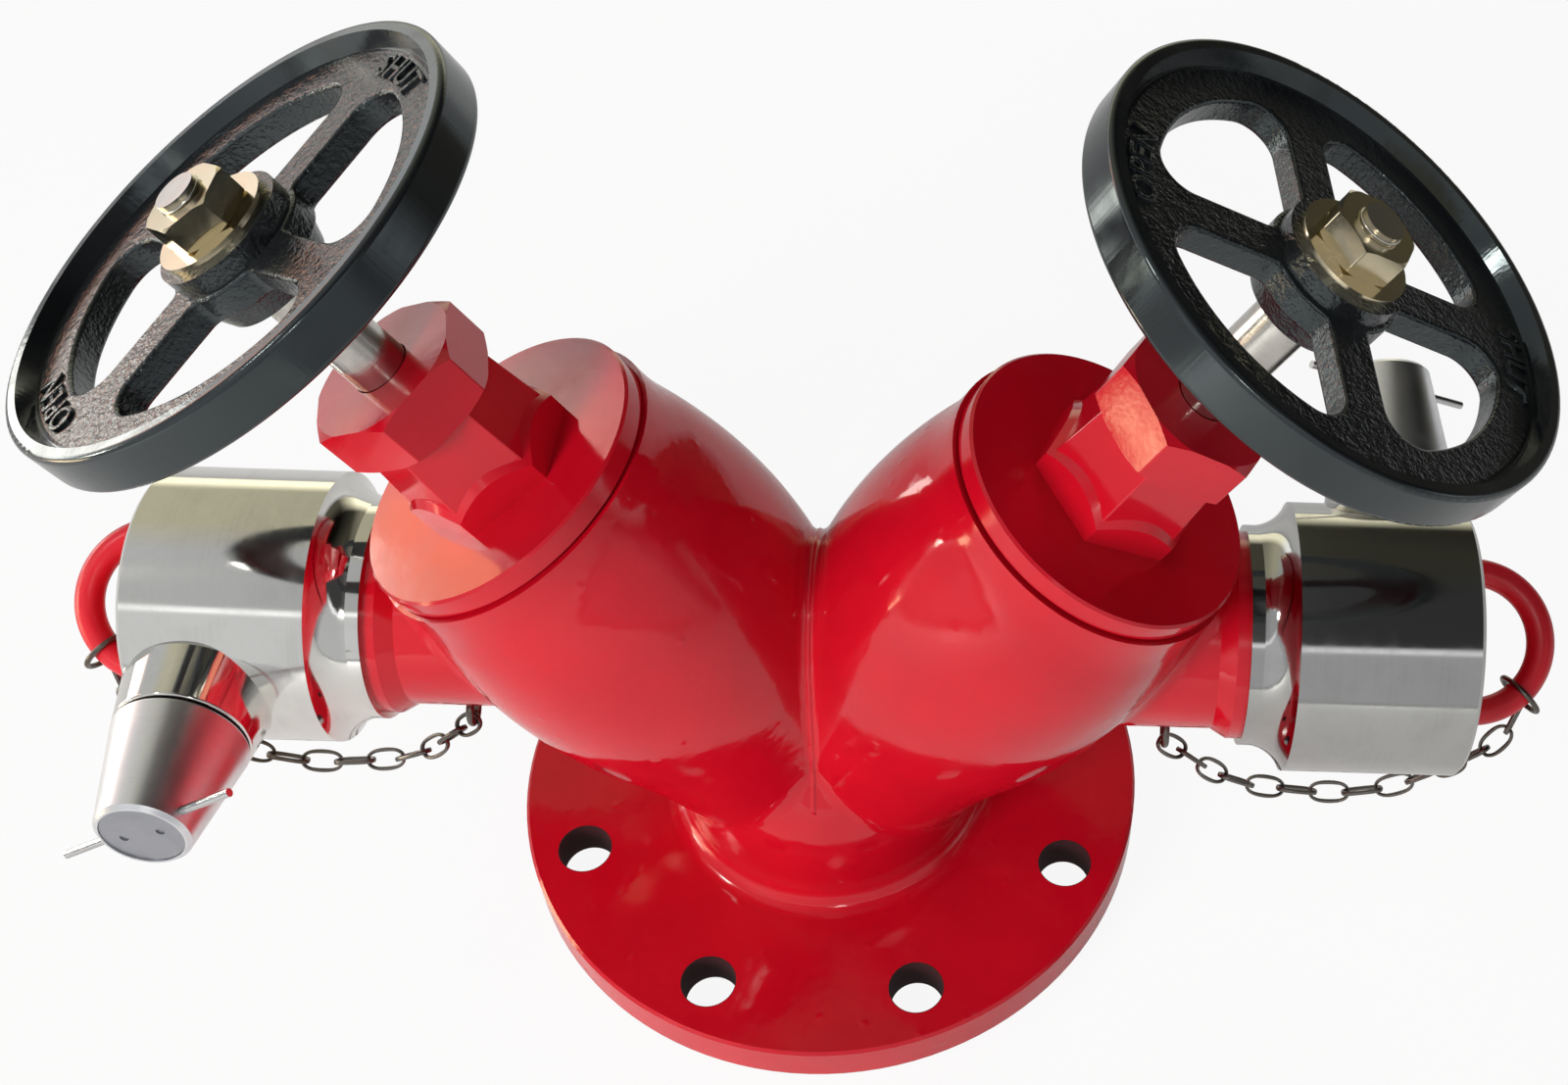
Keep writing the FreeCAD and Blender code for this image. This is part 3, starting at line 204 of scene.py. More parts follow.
def wheel_frame(side):
    return stem_frame(side) @ shift(0, 0, WHEEL_RISE[side]) @ turn(WHEEL_TURN[side], "Z")


def outlet_frame(side):
    return side_frame(side) @ shift(0, 0, OUTLET_HEIGHT) @ turn(90.0, "Y")


def lug_frame(side):
    at = shift(LUG_STATION, 0, OUTLET_HEIGHT)
    return side_frame(side) @ at @ turn(LUG_TURN[side] - 90.0, "X")


def object_point(tree, place=None):
    """The point on the piece, in its own frame or in the frame of an axis."""
    point = add(tree, "TexCoord").outputs["Object"]
    if place is None:
        return point
    into = place.inverted()
    mapped = {"Vector": point, "Location": into.to_translation(),
              "Rotation": into.to_euler("XYZ")}
    return add(tree, "Mapping", mapped).outputs["Vector"]


for side in SIDES:
    print(side, "stem runs along", [round(x, 3) for x in stem_frame(side).col[2][:3]])

# %% [markdown]
# ## Shared effects
# Three effects come back on several finishes, so each is a node group. *Cast skin* is the slow
# waviness of sand casting under thick paint, a lump here and there where the sand gave way, the
# orange peel of the paint itself and a slight drift of its colour. *Lathe marks* are fine rings
# about an axis: noise that only sees the distance from the axis and the height along it.
# *Handling* is the patchy dulling of a gloss that has been touched. Heights are in metres, so the
# Bump nodes use a distance of 1 and every amount can be compared with a real roughness.

# %% Cast skin
DRIFT_SCALE = 28.0
DRIFT_EDGES = (0.38, 0.68)
LUMP_SCALE = 70.0
LUMP_EDGES = (0.02, 0.17)

cast_skin, given, result = open_group(
    "cast skin",
    {
        "Vector": ("Vector", None),
        "Colour": ("Color", rgba(0.5, 0.0, 0.0)),
        "Deep Colour": ("Color", rgba(0.3, 0.0, 0.0)),
        "Wave Scale": ("Float", 45.0),
        "Wave Height": ("Float", 0.1 * MM),
        "Peel Scale": ("Float", 480.0),
        "Peel Height": ("Float", 0.01 * MM),
        "Lump Height": ("Float", 0.0),
    },
    {"Colour": "Color", "Height": "Float"},
)
wave = noise(cast_skin, given["Vector"], given["Wave Scale"], 3.2)
peel = noise(cast_skin, given["Vector"], given["Peel Scale"], 3.0)
drift = noise(cast_skin, given["Vector"], DRIFT_SCALE, 4.0)
depth = spread(cast_skin, drift, *DRIFT_EDGES)
drifted = blend_colours(cast_skin, depth, given["Colour"], given["Deep Colour"])
cast_skin.links.new(drifted, result["Colour"])
grains = add(cast_skin, "TexVoronoi", {"Vector": given["Vector"], "Scale": LUMP_SCALE,
                                       "Randomness": 1.0})
lump = spread(cast_skin, grains.outputs["Distance"], *LUMP_EDGES, 1.0, 0.0)
lump_rise = times(cast_skin, times(cast_skin, lump, lump), given["Lump Height"])
wave_rise = times(cast_skin, wave, given["Wave Height"])
peel_rise = times(cast_skin, peel, given["Peel Height"])
rise = maths(cast_skin, "ADD", maths(cast_skin, "ADD", wave_rise, peel_rise), lump_rise)
cast_skin.links.new(rise, result["Height"])
print("cast skin:", len(cast_skin.nodes), "nodes")

# %% Lathe marks
lathe_marks, given, result = open_group(
    "lathe marks",
    {
        "Vector": ("Vector", None),
        "Scale": ("Float", 2600.0),
        "Height": ("Float", 0.002 * MM),
    },
    {"Rings": "Float", "Height": "Float"},
)
along, _, reach = from_axis(lathe_marks, given["Vector"])
rings_at = add(lathe_marks, "CombineXYZ", {"X": reach, "Y": along["Z"]}).outputs["Vector"]
rings = noise(lathe_marks, rings_at, given["Scale"], 2.0)
lathe_marks.links.new(rings, result["Rings"])
lathe_marks.links.new(times(lathe_marks, rings, given["Height"]), result["Height"])
print("lathe marks:", len(lathe_marks.nodes), "nodes")

# %% Handling
TOUCHED_EDGES = (0.42, 0.72)

handling, given, result = open_group(
    "handling",
    {
        "Vector": ("Vector", None),
        "Clean": ("Float", 0.1),
        "Dulled": ("Float", 0.3),
        "Scale": ("Float", 40.0),
    },
    {"Roughness": "Float", "Mask": "Float"},
)
smears = noise(handling, given["Vector"], given["Scale"], 5.0, Roughness=0.65, Distortion=0.6)
touched = spread(handling, smears, *TOUCHED_EDGES)
handling.links.new(touched, result["Mask"])
span = maths(handling, "SUBTRACT", given["Dulled"], given["Clean"])
dulling = times(handling, touched, span)
handling.links.new(maths(handling, "ADD", dulling, given["Clean"]), result["Roughness"])
print("groups:", [group.name for group in bpy.data.node_groups])

# %% [markdown]
# ## The studio
# Gloss paint and polished metal are seen mostly by what they mirror, so the room matters more
# than the lamps. The front wall is pale up to a bright strip, the ceiling falls off to dark and
# is lighter on the left than on the right, and the back wall is bright and a little golden just
# above the floor. A warm glow stands behind on the left and a dark wall behind on the right. The
# *Light Path* node gives this room to mirrored rays only. The camera sees plain white, and what
# lights the paint is an even, dim sky, so the lamps decide light and shade.
#
# The room has no walls of its own: it is worked out from the direction of a ray. Each pair of
# edges below is the stretch of that direction over which a part of the room fades in or out.

# %% The mirrored room
WARM_WALL = Vector((-0.83, 0.55, 0.13)).normalized()
DARK_WALL = Vector((0.78, 0.58, 0.20)).normalized()
CEILING_SIDES, CEILING_LEVELS = (-0.42, 0.16), (0.54, 0.05)
WALL_TOP, WALL_LEVELS = (0.10, 0.32), (1.50, 0.0)
WALL_FRONT = (-0.35, -0.05)
FRONT_EDGE = (-0.25, -0.50)
PALE_TOP = (0.69, 0.63)
PALE_SIDES, PALE_LEVELS = (-0.40, 0.20), (0.70, 0.54)
STRIP_FOOT, STRIP_TOP = (0.63, 0.66), (0.72, 0.69)
DARK_EDGE, DARK_LEVELS = (0.70, 0.92), (1.0, 0.06)
GLOW_EDGE, GLOW_FOOT = (0.984, 0.996), (0.03, 0.07)
GLOW_LEVEL = 3.6
GOLD_BACK, GOLD_SIDE = (0.1, 0.5), (-0.70, -0.50)
COOL_WHITE = rgba(0.97, 0.98, 1.0)
GOLDEN_WHITE = rgba(1.0, 0.95, 0.70)
EMBER = rgba(1.0, 0.44, 0.27)


def facing(tree, ray, wall):
    """How nearly a ray points at a wall: 1 is straight at it."""
    return add(tree, "VectorMath", {0: ray, 1: wall}, operation="DOT_PRODUCT").outputs["Value"]


def mirrored_room(tree):
    """The colour and the brightness of the room that a mirrored ray sees."""
    ray = add(tree, "TexCoord").outputs["Generated"]
    way = add(tree, "SeparateXYZ", {"Vector": ray}).outputs
    ceiling = spread(tree, way["X"], *CEILING_SIDES, *CEILING_LEVELS)
    wall = times(tree, spread(tree, way["Z"], *WALL_TOP, *WALL_LEVELS),
                 spread(tree, way["Y"], *WALL_FRONT))
    pale = times(tree, spread(tree, way["Z"], *PALE_TOP),
                 spread(tree, way["X"], *PALE_SIDES, *PALE_LEVELS))
    strip = times(tree, spread(tree, way["Z"], *STRIP_FOOT), spread(tree, way["Z"], *STRIP_TOP))
    front = times(tree, spread(tree, way["Y"], *FRONT_EDGE), maths(tree, "ADD", pale, strip))
    level = maths(tree, "MAXIMUM", maths(tree, "MAXIMUM", wall, ceiling), front)
    level = times(tree, level, spread(tree, facing(tree, ray, DARK_WALL), *DARK_EDGE, *DARK_LEVELS))
    glow = times(tree, spread(tree, facing(tree, ray, WARM_WALL), *GLOW_EDGE),
                 spread(tree, way["Z"], *GLOW_FOOT))
    level = maths(tree, "ADD", level, times(tree, glow, GLOW_LEVEL))
    gold = times(tree, spread(tree, way["Y"], *GOLD_BACK), spread(tree, way["X"], *GOLD_SIDE))
    tone = blend_colours(tree, gold, COOL_WHITE, GOLDEN_WHITE)
    return blend_colours(tree, glow, tone, EMBER), level


# %% World
SKY_LIGHT = 0.19
CAMERA_WHITE = 0.94
PLAIN_WHITE = rgba(1.0, 1.0, 1.0)


def ray_kinds(tree):
    """Masks of the camera's own rays, and of those that a gloss or a glass sends on."""
    path = add(tree, "LightPath").outputs
    mirrored = maths(tree, "MAXIMUM", path["Is Glossy Ray"], path["Is Transmission Ray"])
    return path["Is Camera Ray"], mirrored


def blend_shaders(tree, factor, first, second):
    wanted = {0: factor, 1: first.outputs[0], 2: second.outputs[0]}
    return add(tree, "MixShader", wanted)


def studio_world():
    world = bpy.data.worlds.new("studio")
    world.use_nodes = True
    tree = world.node_tree
    tree.nodes.clear()
    tone, level = mirrored_room(tree)
    seen, mirrored = ray_kinds(tree)
    sky = add(tree, "Background", {"Color": COOL_WHITE, "Strength": SKY_LIGHT})
    white = add(tree, "Background", {"Color": PLAIN_WHITE, "Strength": CAMERA_WHITE})
    room = add(tree, "Background", {"Color": tone, "Strength": level})
    mixed = blend_shaders(tree, mirrored, blend_shaders(tree, seen, sky, white), room)
    tree.links.new(mixed.outputs[0], add(tree, "OutputWorld").inputs["Surface"])
    return world


bpy.context.scene.world = studio_world()
bpy.context.scene.view_settings.view_transform = "Standard"
print("world:", len(bpy.context.scene.world.node_tree.nodes), "nodes")

# %% [markdown]
# ### Floor and lamps
# The floor is pale, and it is mixed with a plain white, much for the rays that look straight at
# it and less for those that mirror it, so it stays white and keeps a soft shadow.
#
# The key lamp is large and stands well left of the camera and a little below it: it lights the
# left of each form most, the flange less and the right bonnet least. Such a lamp would mirror as
# one great square, so it is hidden from mirrored rays, and so are a weak fill on the right and one
# behind. The windows on the left light nothing and are only mirrored, in the sides that look left.
# Two small lamps give the paint its sharp highlights.

# %% Floor
FLOOR_HALF = 3.5
FLOOR_DROP = 0.4 * MM
FLOOR_PALE = rgba(0.88, 0.88, 0.87)
SEEN_WHITE = 0.91
MIRRORED_WHITE = 0.30


def studio_floor():
    sheet = bmesh.new()
    bmesh.ops.create_grid(sheet, x_segments=1, y_segments=1, size=FLOOR_HALF,
                          matrix=shift(0, 0, -FLOOR_DROP))
    mesh = bpy.data.meshes.new("studio_floor")
    sheet.to_mesh(mesh)
    sheet.free()
    floor = bpy.data.objects.new("studio_floor", mesh)
    bpy.context.scene.collection.objects.link(floor)
    material = bpy.data.materials.new("pale_floor")
    material.use_nodes = True
    tree = material.node_tree
    tree.nodes.clear()
    seen, mirrored = ray_kinds(tree)
    share = maths(tree, "MAXIMUM", times(tree, seen, SEEN_WHITE),
                  times(tree, mirrored, MIRRORED_WHITE))
    matte = add(tree, "BsdfDiffuse", {"Color": FLOOR_PALE})
    white = add(tree, "Emission", {"Color": PLAIN_WHITE, "Strength": 1.0})
    mixed = blend_shaders(tree, share, matte, white)
    tree.links.new(mixed.outputs[0], add(tree, "OutputMaterial").inputs["Surface"])
    mesh.materials.append(material)


studio_floor()
print("floor:", 2 * FLOOR_HALF, "m across")

# %% Lamps
AIM = Vector((0.0, 0.0, 0.12))
LAMP_WHITE = (1.0, 0.985, 0.96)
SPARK_WHITE = (1.0, 0.97, 0.92)
WINDOW_WHITE = (1.0, 0.98, 0.90)
WINDOW_GOLD = (1.0, 0.95, 0.78)
WINDOW_AMBER = (1.0, 0.72, 0.42)


def lamp(name, place, width, height, watts, colour, mirrored=True, lights=True):
    """A rectangular lamp that looks at the valve, and may be hidden from some rays."""
    light = bpy.data.lights.new(name, "AREA")
    light.shape = "RECTANGLE"
    light.size = width
    light.size_y = height
    light.energy = watts
    light.color = colour
    lit = bpy.data.objects.new(name, light)
    toward = (AIM - Vector(place)).to_track_quat("-Z", "Y").to_matrix().to_4x4()
    lit.matrix_world = Matrix.Translation(place) @ toward
    lit.visible_glossy = mirrored
    lit.visible_diffuse = lights
    lit.visible_camera = False
    bpy.context.scene.collection.objects.link(lit)


lamp("key_lamp", (-0.95, -1.15, 0.62), 0.60, 0.60, 18.0, LAMP_WHITE, mirrored=False)
lamp("fill_lamp", (0.60, -1.50, 0.40), 0.50, 0.50, 3.0, LAMP_WHITE, mirrored=False)
lamp("back_lamp", (0.50, 1.45, 0.85), 0.60, 0.60, 5.0, LAMP_WHITE, mirrored=False)
lamp("left_window", (-1.30, 0.52, 0.15), 0.55, 0.22, 2.2, WINDOW_WHITE, lights=False)
lamp("low_window", (-0.90, -0.12, 0.07), 0.30, 0.11, 1.0, WINDOW_AMBER, lights=False)
lamp("window_spark", (-1.25, -0.10, 0.32), 0.16, 0.10, 1.5, WINDOW_GOLD, lights=False)
lamp("left_spark", (-0.90, -0.25, 1.20), 0.16, 0.10, 2.0, SPARK_WHITE)
lamp("front_spark", (0.10, -1.15, 1.30), 0.12, 0.07, 1.6, SPARK_WHITE)

# %% [markdown]
# ## Finishes
# A finish is one Principled shader with a few effects wired to it. What is the same all over a
# surface is typed into the shader's own socket. What changes over the surface comes from the
# groups above.


# %% Starting a finish
def new_finish(name, **constants):
    """A material, its node tree and its shader, with the sockets that stay the same all over."""
    material = bpy.data.materials.new(name)
    material.use_nodes = True
    shader = material.node_tree.nodes["Principled BSDF"]
    for socket, value in constants.items():
        shader.inputs[socket.replace("_", " ")].default_value = value
    return material, material.node_tree, shader


def wire(tree, shader, **sockets):
    for socket, value in sockets.items():
        tree.links.new(value, shader.inputs[socket.replace("_", " ")])


def bumped(tree, height):
    """A normal from a height in metres."""
    wanted = {"Strength": 1.0, "Distance": 1.0, "Height": height}
    return add(tree, "Bump", wanted).outputs["Normal"]


# %% [markdown]
# ### Red enamel
# The casting, the bonnets and the gland nuts are sprayed with thick gloss enamel over rough metal.
# The gloss is high, the surface below is not flat, and that is what bends the mirrored room into
# soft uneven patches. The flange's underside is machined bare for its gasket, and the bore keeps
# the bare cast metal. The bolt holes are given a dark, rough inside: painted shade. Each is a mask
# worked out from the point's own coordinates.

# %% Red enamel
ENAMEL = rgba(0.62, 0.004, 0.017)
DEEP_ENAMEL = rgba(0.55, 0.003, 0.015)
ENAMEL_DULLING = 0.14


def red_enamel(name, wave_height, peel_scale, peel_height, gloss, lump_height=0.0):
    """The finish, with the tree, shader and outputs that a mask on it needs."""
    material, tree, shader = new_finish(name, IOR=1.52)
    point = object_point(tree)
    skin = place_group(tree, cast_skin, {
        "Vector": point, "Colour": ENAMEL, "Deep Colour": DEEP_ENAMEL,
        "Wave Height": wave_height, "Peel Scale": peel_scale, "Peel Height": peel_height,
        "Lump Height": lump_height})
    touch = place_group(tree, handling, {
        "Vector": point, "Clean": gloss, "Dulled": gloss + ENAMEL_DULLING})
    wire(tree, shader, Base_Color=skin["Colour"], Roughness=touch["Roughness"],
         Normal=bumped(tree, skin["Height"]))
    return material, tree, shader, skin["Colour"], touch["Roughness"], point


# %% Bare metal, and painted shade in the bolt holes
BARE_METAL = rgba(0.40, 0.30, 0.20)
BARE_ROUGHNESS = 0.42
BORE_RADIUS = 45.6 * MM
BORE_TOP = 35.0 * MM
GASKET_FACE = 0.1 * MM
# Painted shade: the dark colour given to the inside of the bolt holes.
HOLE_PAINTED_SHADE = rgba(0.045, 0.012, 0.014)
HOLE_ROUGHNESS = 0.80
HOLE_CIRCLE = 90.0 * MM
HOLE_REACH = 9.2 * MM
HOLE_STEP = math.radians(45.0)
FLANGE_TOP = 15.5 * MM


def in_bolt_hole(tree, at, reach):
    """A mask of the holes: the angle is folded to one hole's share, then the cosine rule gives
    the distance from that hole's middle."""
    angle = maths(tree, "ARCTAN2", at["Y"], at["X"])
    folded = add(tree, "Math", {0: angle, 1: HOLE_STEP, 2: 0.0}, operation="WRAP").outputs[0]
    across = maths(tree, "COSINE", maths(tree, "SUBTRACT", folded, HOLE_STEP / 2))
    squares = maths(tree, "ADD", times(tree, reach, reach), HOLE_CIRCLE ** 2)
    doubled = times(tree, times(tree, reach, 2.0 * HOLE_CIRCLE), across)
    near = maths(tree, "LESS_THAN", maths(tree, "SUBTRACT", squares, doubled), HOLE_REACH ** 2)
    return times(tree, near, maths(tree, "LESS_THAN", at["Z"], FLANGE_TOP))


def casting_enamel():
    """The enamel with the bore and the gasket face left bare, and painted shade in the bolt holes.
    """
    material, tree, shader, colour, dull, point = red_enamel(
        "casting_enamel", wave_height=0.46 * MM, peel_scale=420.0, peel_height=0.018 * MM,
        gloss=0.06, lump_height=0.16 * MM)
    at, _, reach = from_axis(tree, point)
    in_bore = times(tree, maths(tree, "LESS_THAN", reach, BORE_RADIUS),
                    maths(tree, "LESS_THAN", at["Z"], BORE_TOP))
    bare = maths(tree, "MAXIMUM", in_bore, maths(tree, "LESS_THAN", at["Z"], GASKET_FACE))
    hole_shade = in_bolt_hole(tree, at, reach)
    # Painted shade: the bolt holes are made dark and rough inside.
    colour = blend_colours(tree, hole_shade, colour, HOLE_PAINTED_SHADE)
    rough = maths(tree, "MAXIMUM", times(tree, bare, BARE_ROUGHNESS),
                  times(tree, hole_shade, HOLE_ROUGHNESS))
    wire(tree, shader, Base_Color=blend_colours(tree, bare, colour, BARE_METAL), Metallic=bare,
         Roughness=maths(tree, "MAXIMUM", dull, rough))
    return material


casting_red = casting_enamel()
bonnet_red = red_enamel("bonnet_enamel", wave_height=0.10 * MM, peel_scale=520.0,
                        peel_height=0.014 * MM, gloss=0.08)[0]
gland_red = red_enamel("gland_enamel", wave_height=0.10 * MM, peel_scale=620.0,
                       peel_height=0.030 * MM, gloss=0.10)[0]
print("red finishes:", [made.name for made in (casting_red, bonnet_red, gland_red)])

# %% [markdown]
# ### Black enamel on the wheels
# The wheel's rim is turned smooth before it is painted, and the web and spokes keep their
# sand-cast pebble. A mask of the distance from the wheel's axis keeps the pebble off the rim,
# which gets faint streaks across it instead. A deep black is seen almost only by its gloss, so the
# gloss carries the colour: a slightly cool tint.

# %% Black enamel
WEB_EDGE = (66.8 * MM, 67.8 * MM)
WHEEL_BLACK = rgba(0.010, 0.011, 0.013)
WHEEL_GREY = rgba(0.018, 0.019, 0.020)
COOL_GLOSS = rgba(0.82, 0.97, 1.0)
STREAK_SCALE = 700.0
STREAK_HEIGHT = 0.030 * MM


def black_enamel(side):
    material, tree, shader = new_finish(side + "_wheel_enamel", IOR=1.64,
                                        Specular_Tint=COOL_GLOSS)
    point = object_point(tree, wheel_frame(side))
    _, flat, reach = from_axis(tree, point)
    cast = spread(tree, reach, *WEB_EDGE, 1.0, 0.0)
    skin = place_group(tree, cast_skin, {
        "Vector": point, "Colour": WHEEL_BLACK, "Deep Colour": WHEEL_GREY,
        "Wave Scale": 320.0, "Wave Height": 0.34 * MM,
        "Peel Scale": 850.0, "Peel Height": 0.30 * MM})
    rim_rise = times(tree, noise(tree, flat, STREAK_SCALE, 2.0), STREAK_HEIGHT)
    web_rise = times(tree, skin["Height"], cast)
    touch = place_group(tree, handling, {"Vector": point, "Clean": 0.10, "Dulled": 0.26})
    wire(tree, shader, Base_Color=skin["Colour"], Roughness=touch["Roughness"],
         Normal=bumped(tree, maths(tree, "ADD", web_rise, rim_rise)))
    return material


# %% [markdown]
# ### Turned and plated metal
# Stems, knobs, couplings, washers and nuts are metal that shows its lathe rings. They differ in
# colour, in how polished they are and in how deep the rings cut, so one function makes them all,
# about each piece's own axis. Each metal has a clean colour and a worn one.

# %% Turned metal
# The two couplings are alike: the lighter plating on the left is painted light, the darker plating
# on the right painted shade.
PLATING_LIT_AND_SHADED = {"left": (rgba(0.80, 0.79, 0.755), rgba(0.66, 0.65, 0.62)),
           "right": (rgba(0.50, 0.50, 0.485), rgba(0.40, 0.40, 0.39))}
SATIN = (rgba(0.86, 0.87, 0.89), rgba(0.62, 0.63, 0.66))
STAINLESS = (rgba(0.62, 0.60, 0.56), rgba(0.34, 0.32, 0.29))
YELLOW_ZINC = (rgba(0.72, 0.63, 0.43), rgba(0.60, 0.55, 0.44))
BRIGHT_STEEL = (rgba(0.62, 0.62, 0.62), rgba(0.45, 0.44, 0.43))
PLAIN_ZINC = (rgba(0.44, 0.45, 0.49), rgba(0.36, 0.37, 0.40))
BRONZE = (rgba(0.60, 0.40, 0.18), rgba(0.38, 0.25, 0.12))
METAL_SMEARS = 55.0


def turned_metal(name, place, colours, rings, roughness):
    """A metal from its clean and worn colours, its rings' scale and height, and its roughness
    when clean and when dulled."""
    material, tree, shader = new_finish(name, Metallic=1.0)
    point = object_point(tree, place)
    marks = place_group(tree, lathe_marks, {
        "Vector": point, "Scale": rings[0], "Height": rings[1]})
    touch = place_group(tree, handling, {
        "Vector": point, "Clean": roughness[0], "Dulled": roughness[1], "Scale": METAL_SMEARS})
    shade = times(tree, touch["Mask"], marks["Rings"])
    wire(tree, shader, Base_Color=blend_colours(tree, shade, *colours),
         Roughness=touch["Roughness"], Normal=bumped(tree, marks["Height"]))
    return material


def side_metals(side):
    """The turned finishes of one side, by the node that wears them."""
    stem, outlet, lug = stem_frame(side), outlet_frame(side), lug_frame(side)

    def metal(name, *details):
        return turned_metal(side + "_" + name, *details)

    # Painted light and shade: the chrome's colours differ by side.
    chrome = metal("chrome", outlet, PLATING_LIT_AND_SHADED[side], (1400.0, 0.0012 * MM), (0.07, 0.15))
    satin = metal("satin_knob", lug, SATIN, (2200.0, 0.004 * MM), (0.30, 0.42))
    stainless = metal("turned_stem", stem, STAINLESS, (1500.0, 0.010 * MM), (0.16, 0.30))
    yellow = metal("yellow_zinc", stem, YELLOW_ZINC, (900.0, 0.006 * MM), (0.14, 0.28))
    bright = metal("bright_steel", lug, BRIGHT_STEEL, (1800.0, 0.003 * MM), (0.18, 0.30))
    plate = metal("plain_zinc", lug, PLAIN_ZINC, (1200.0, 0.003 * MM), (0.38, 0.50))
    bronze = metal("bronze", stem, BRONZE, (1300.0, 0.008 * MM), (0.24, 0.40))
    return {
        "coupling": chrome, "lug_knob": satin, "spindle": stainless,
        "wheel_washer": yellow, "wheel_nut": yellow,
        "knob_pin": bright, "lug_plunger": bright, "lug_spring": bright, "disc_bolt": bright,
        "spring_cap": plate, "knob_plate": plate,
        "seat_ring": bronze, "valve_disc": bronze, "disc_washer": bronze, "swivel_nut": bronze,
        "gland_follower": bronze,
    }


# %% [markdown]
# ### Plastic, rubber and chain
# The blank caps are moulded in bright red plastic, softer in gloss than the paint. The seals are
# rubber, fibre and graphited packing. The chain is plain dark steel wire, dulled and a little
# brown in places. All are even skins with a fine grain, so one function makes them too.

# %% Moulded and dark finishes
MOULDED_WAVE = 0.02 * MM
MOULDED_SMEARS = 90.0


def moulded(name, colours, grain, roughness, **constants):
    """A finish from its two colours, its grain's scale and height, and its roughness when clean
    and when dulled."""
    material, tree, shader = new_finish(name, **constants)
    point = object_point(tree)
    skin = place_group(tree, cast_skin, {
        "Vector": point, "Colour": colours[0], "Deep Colour": colours[1],
        "Wave Height": MOULDED_WAVE, "Peel Scale": grain[0], "Peel Height": grain[1]})
    touch = place_group(tree, handling, {
        "Vector": point, "Clean": roughness[0], "Dulled": roughness[1],
        "Scale": MOULDED_SMEARS})
    wire(tree, shader, Base_Color=skin["Colour"], Roughness=touch["Roughness"],
         Normal=bumped(tree, skin["Height"]))
    return material


red_plastic = moulded("red_plastic", (rgba(0.74, 0.012, 0.028), rgba(0.62, 0.006, 0.018)),
                      (900.0, 0.006 * MM), (0.30, 0.46))
rubber = moulded("black_rubber", (rgba(0.016, 0.016, 0.017), rgba(0.024, 0.023, 0.022)),
                 (1400.0, 0.01 * MM), (0.55, 0.75))
fibre = moulded("fibre_gasket", (rgba(0.030, 0.026, 0.024), rgba(0.018, 0.016, 0.016)),
                (1600.0, 0.02 * MM), (0.70, 0.85))
packing = moulded("graphite_packing", (rgba(0.050, 0.050, 0.055), rgba(0.030, 0.030, 0.034)),
                  (1500.0, 0.03 * MM), (0.42, 0.60))
chain_steel = moulded("chain_steel", (rgba(0.20, 0.185, 0.17), rgba(0.12, 0.095, 0.075)),
                      (1500.0, 0.01 * MM), (0.28, 0.48), Metallic=1.0)
print("moulded:", [made.name for made in (red_plastic, rubber, fibre, packing, chain_steel)])

# %% [markdown]
# ### Dressing the solids
# The solids keep their shapes, and each gets its finish in place of the plain one that it came
# with. What was turned about an axis, the wheels too, has a finish of its own on each side, and
# the plating of the left coupling is painted lighter and that of the right one darker: painted
# light and shade. The red paint, the plastic, the seals and the chain steel are shared.

# %% Dressing the nodes
SHARED = {
    "bonnet": bonnet_red, "gland_nut": gland_red, "blank_cap": red_plastic,
    "disc_seal": rubber, "hose_washer": rubber, "bonnet_gasket": fibre,
    "gland_packing": packing, "chain": chain_steel, "chain_eye": chain_steel,
}


def dress(node, material):
    slots = nodes[node].data.materials
    slots.clear()
    slots.append(material)


dress("valve_body", casting_red)
worn_by = {}
for side in SIDES:
    worn_by[side] = {**SHARED, **side_metals(side), "handwheel": black_enamel(side)}
    for part, material in worn_by[side].items():
        dress(side + "_" + part, material)
print("finishes:", len(bpy.data.materials))

# %% [markdown]
# ## Cast words on the wheels
# Each web has two short raised words at the ends of a diameter, for the two ways the wheel turns.
# They could be cut out of a height pattern, but letters with real walls catch the light as cast
# ones do. A text object draws them, and once it is a mesh, the distance along the line becomes an
# angle, which bends the word round the wheel.


# %% Finishing a piece
def finished(shape, name, body, material):
    """A shape made a smooth-shaded object at the origin, which rides on a body."""
    mesh = bpy.data.meshes.new(name)
    shape.to_mesh(mesh)
    shape.free()
    mesh.shade_smooth()
    mesh.materials.append(material)
    piece = bpy.data.objects.new(name, mesh)
    bpy.context.scene.collection.objects.link(piece)
    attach(piece, body)
    return piece


# %% Cast words
WORD_RADIUS = 61.5 * MM
WEB_TOP = 277.0 * MM
LETTER_HEIGHT = 7.4 * MM
CAPITAL_SHARE = 0.7
WORD_RISE = 0.9 * MM
WORD_ROUND = 0.2 * MM
WORD_WELD = 0.01 * MM
WORDS = {"left": ((72.0, "OPEN"), (256.0, "SHUT")),
         "right": ((172.0, "OPEN"), (352.0, "SHUT"))}


def flat_word(word):
    """The raised letters of a word as one shape, lying across the origin."""
    letters = bpy.data.curves.new("letters", "FONT")
    letters.body = word
    letters.size = LETTER_HEIGHT / CAPITAL_SHARE
    letters.align_x = "CENTER"
    letters.align_y = "CENTER"
    letters.resolution_u = 3
    letters.extrude = WORD_RISE - WORD_ROUND
    letters.bevel_depth = WORD_ROUND
    letters.bevel_resolution = 1
    drawn = bpy.data.objects.new("letters", letters)
    mesh = bpy.data.meshes.new_from_object(drawn)
    shape = bmesh.new()
    shape.from_mesh(mesh)
    bpy.data.objects.remove(drawn)
    bpy.data.meshes.remove(mesh)
    bmesh.ops.remove_doubles(shape, verts=shape.verts, dist=WORD_WELD)
    bmesh.ops.recalc_face_normals(shape, faces=shape.faces)
    return shape


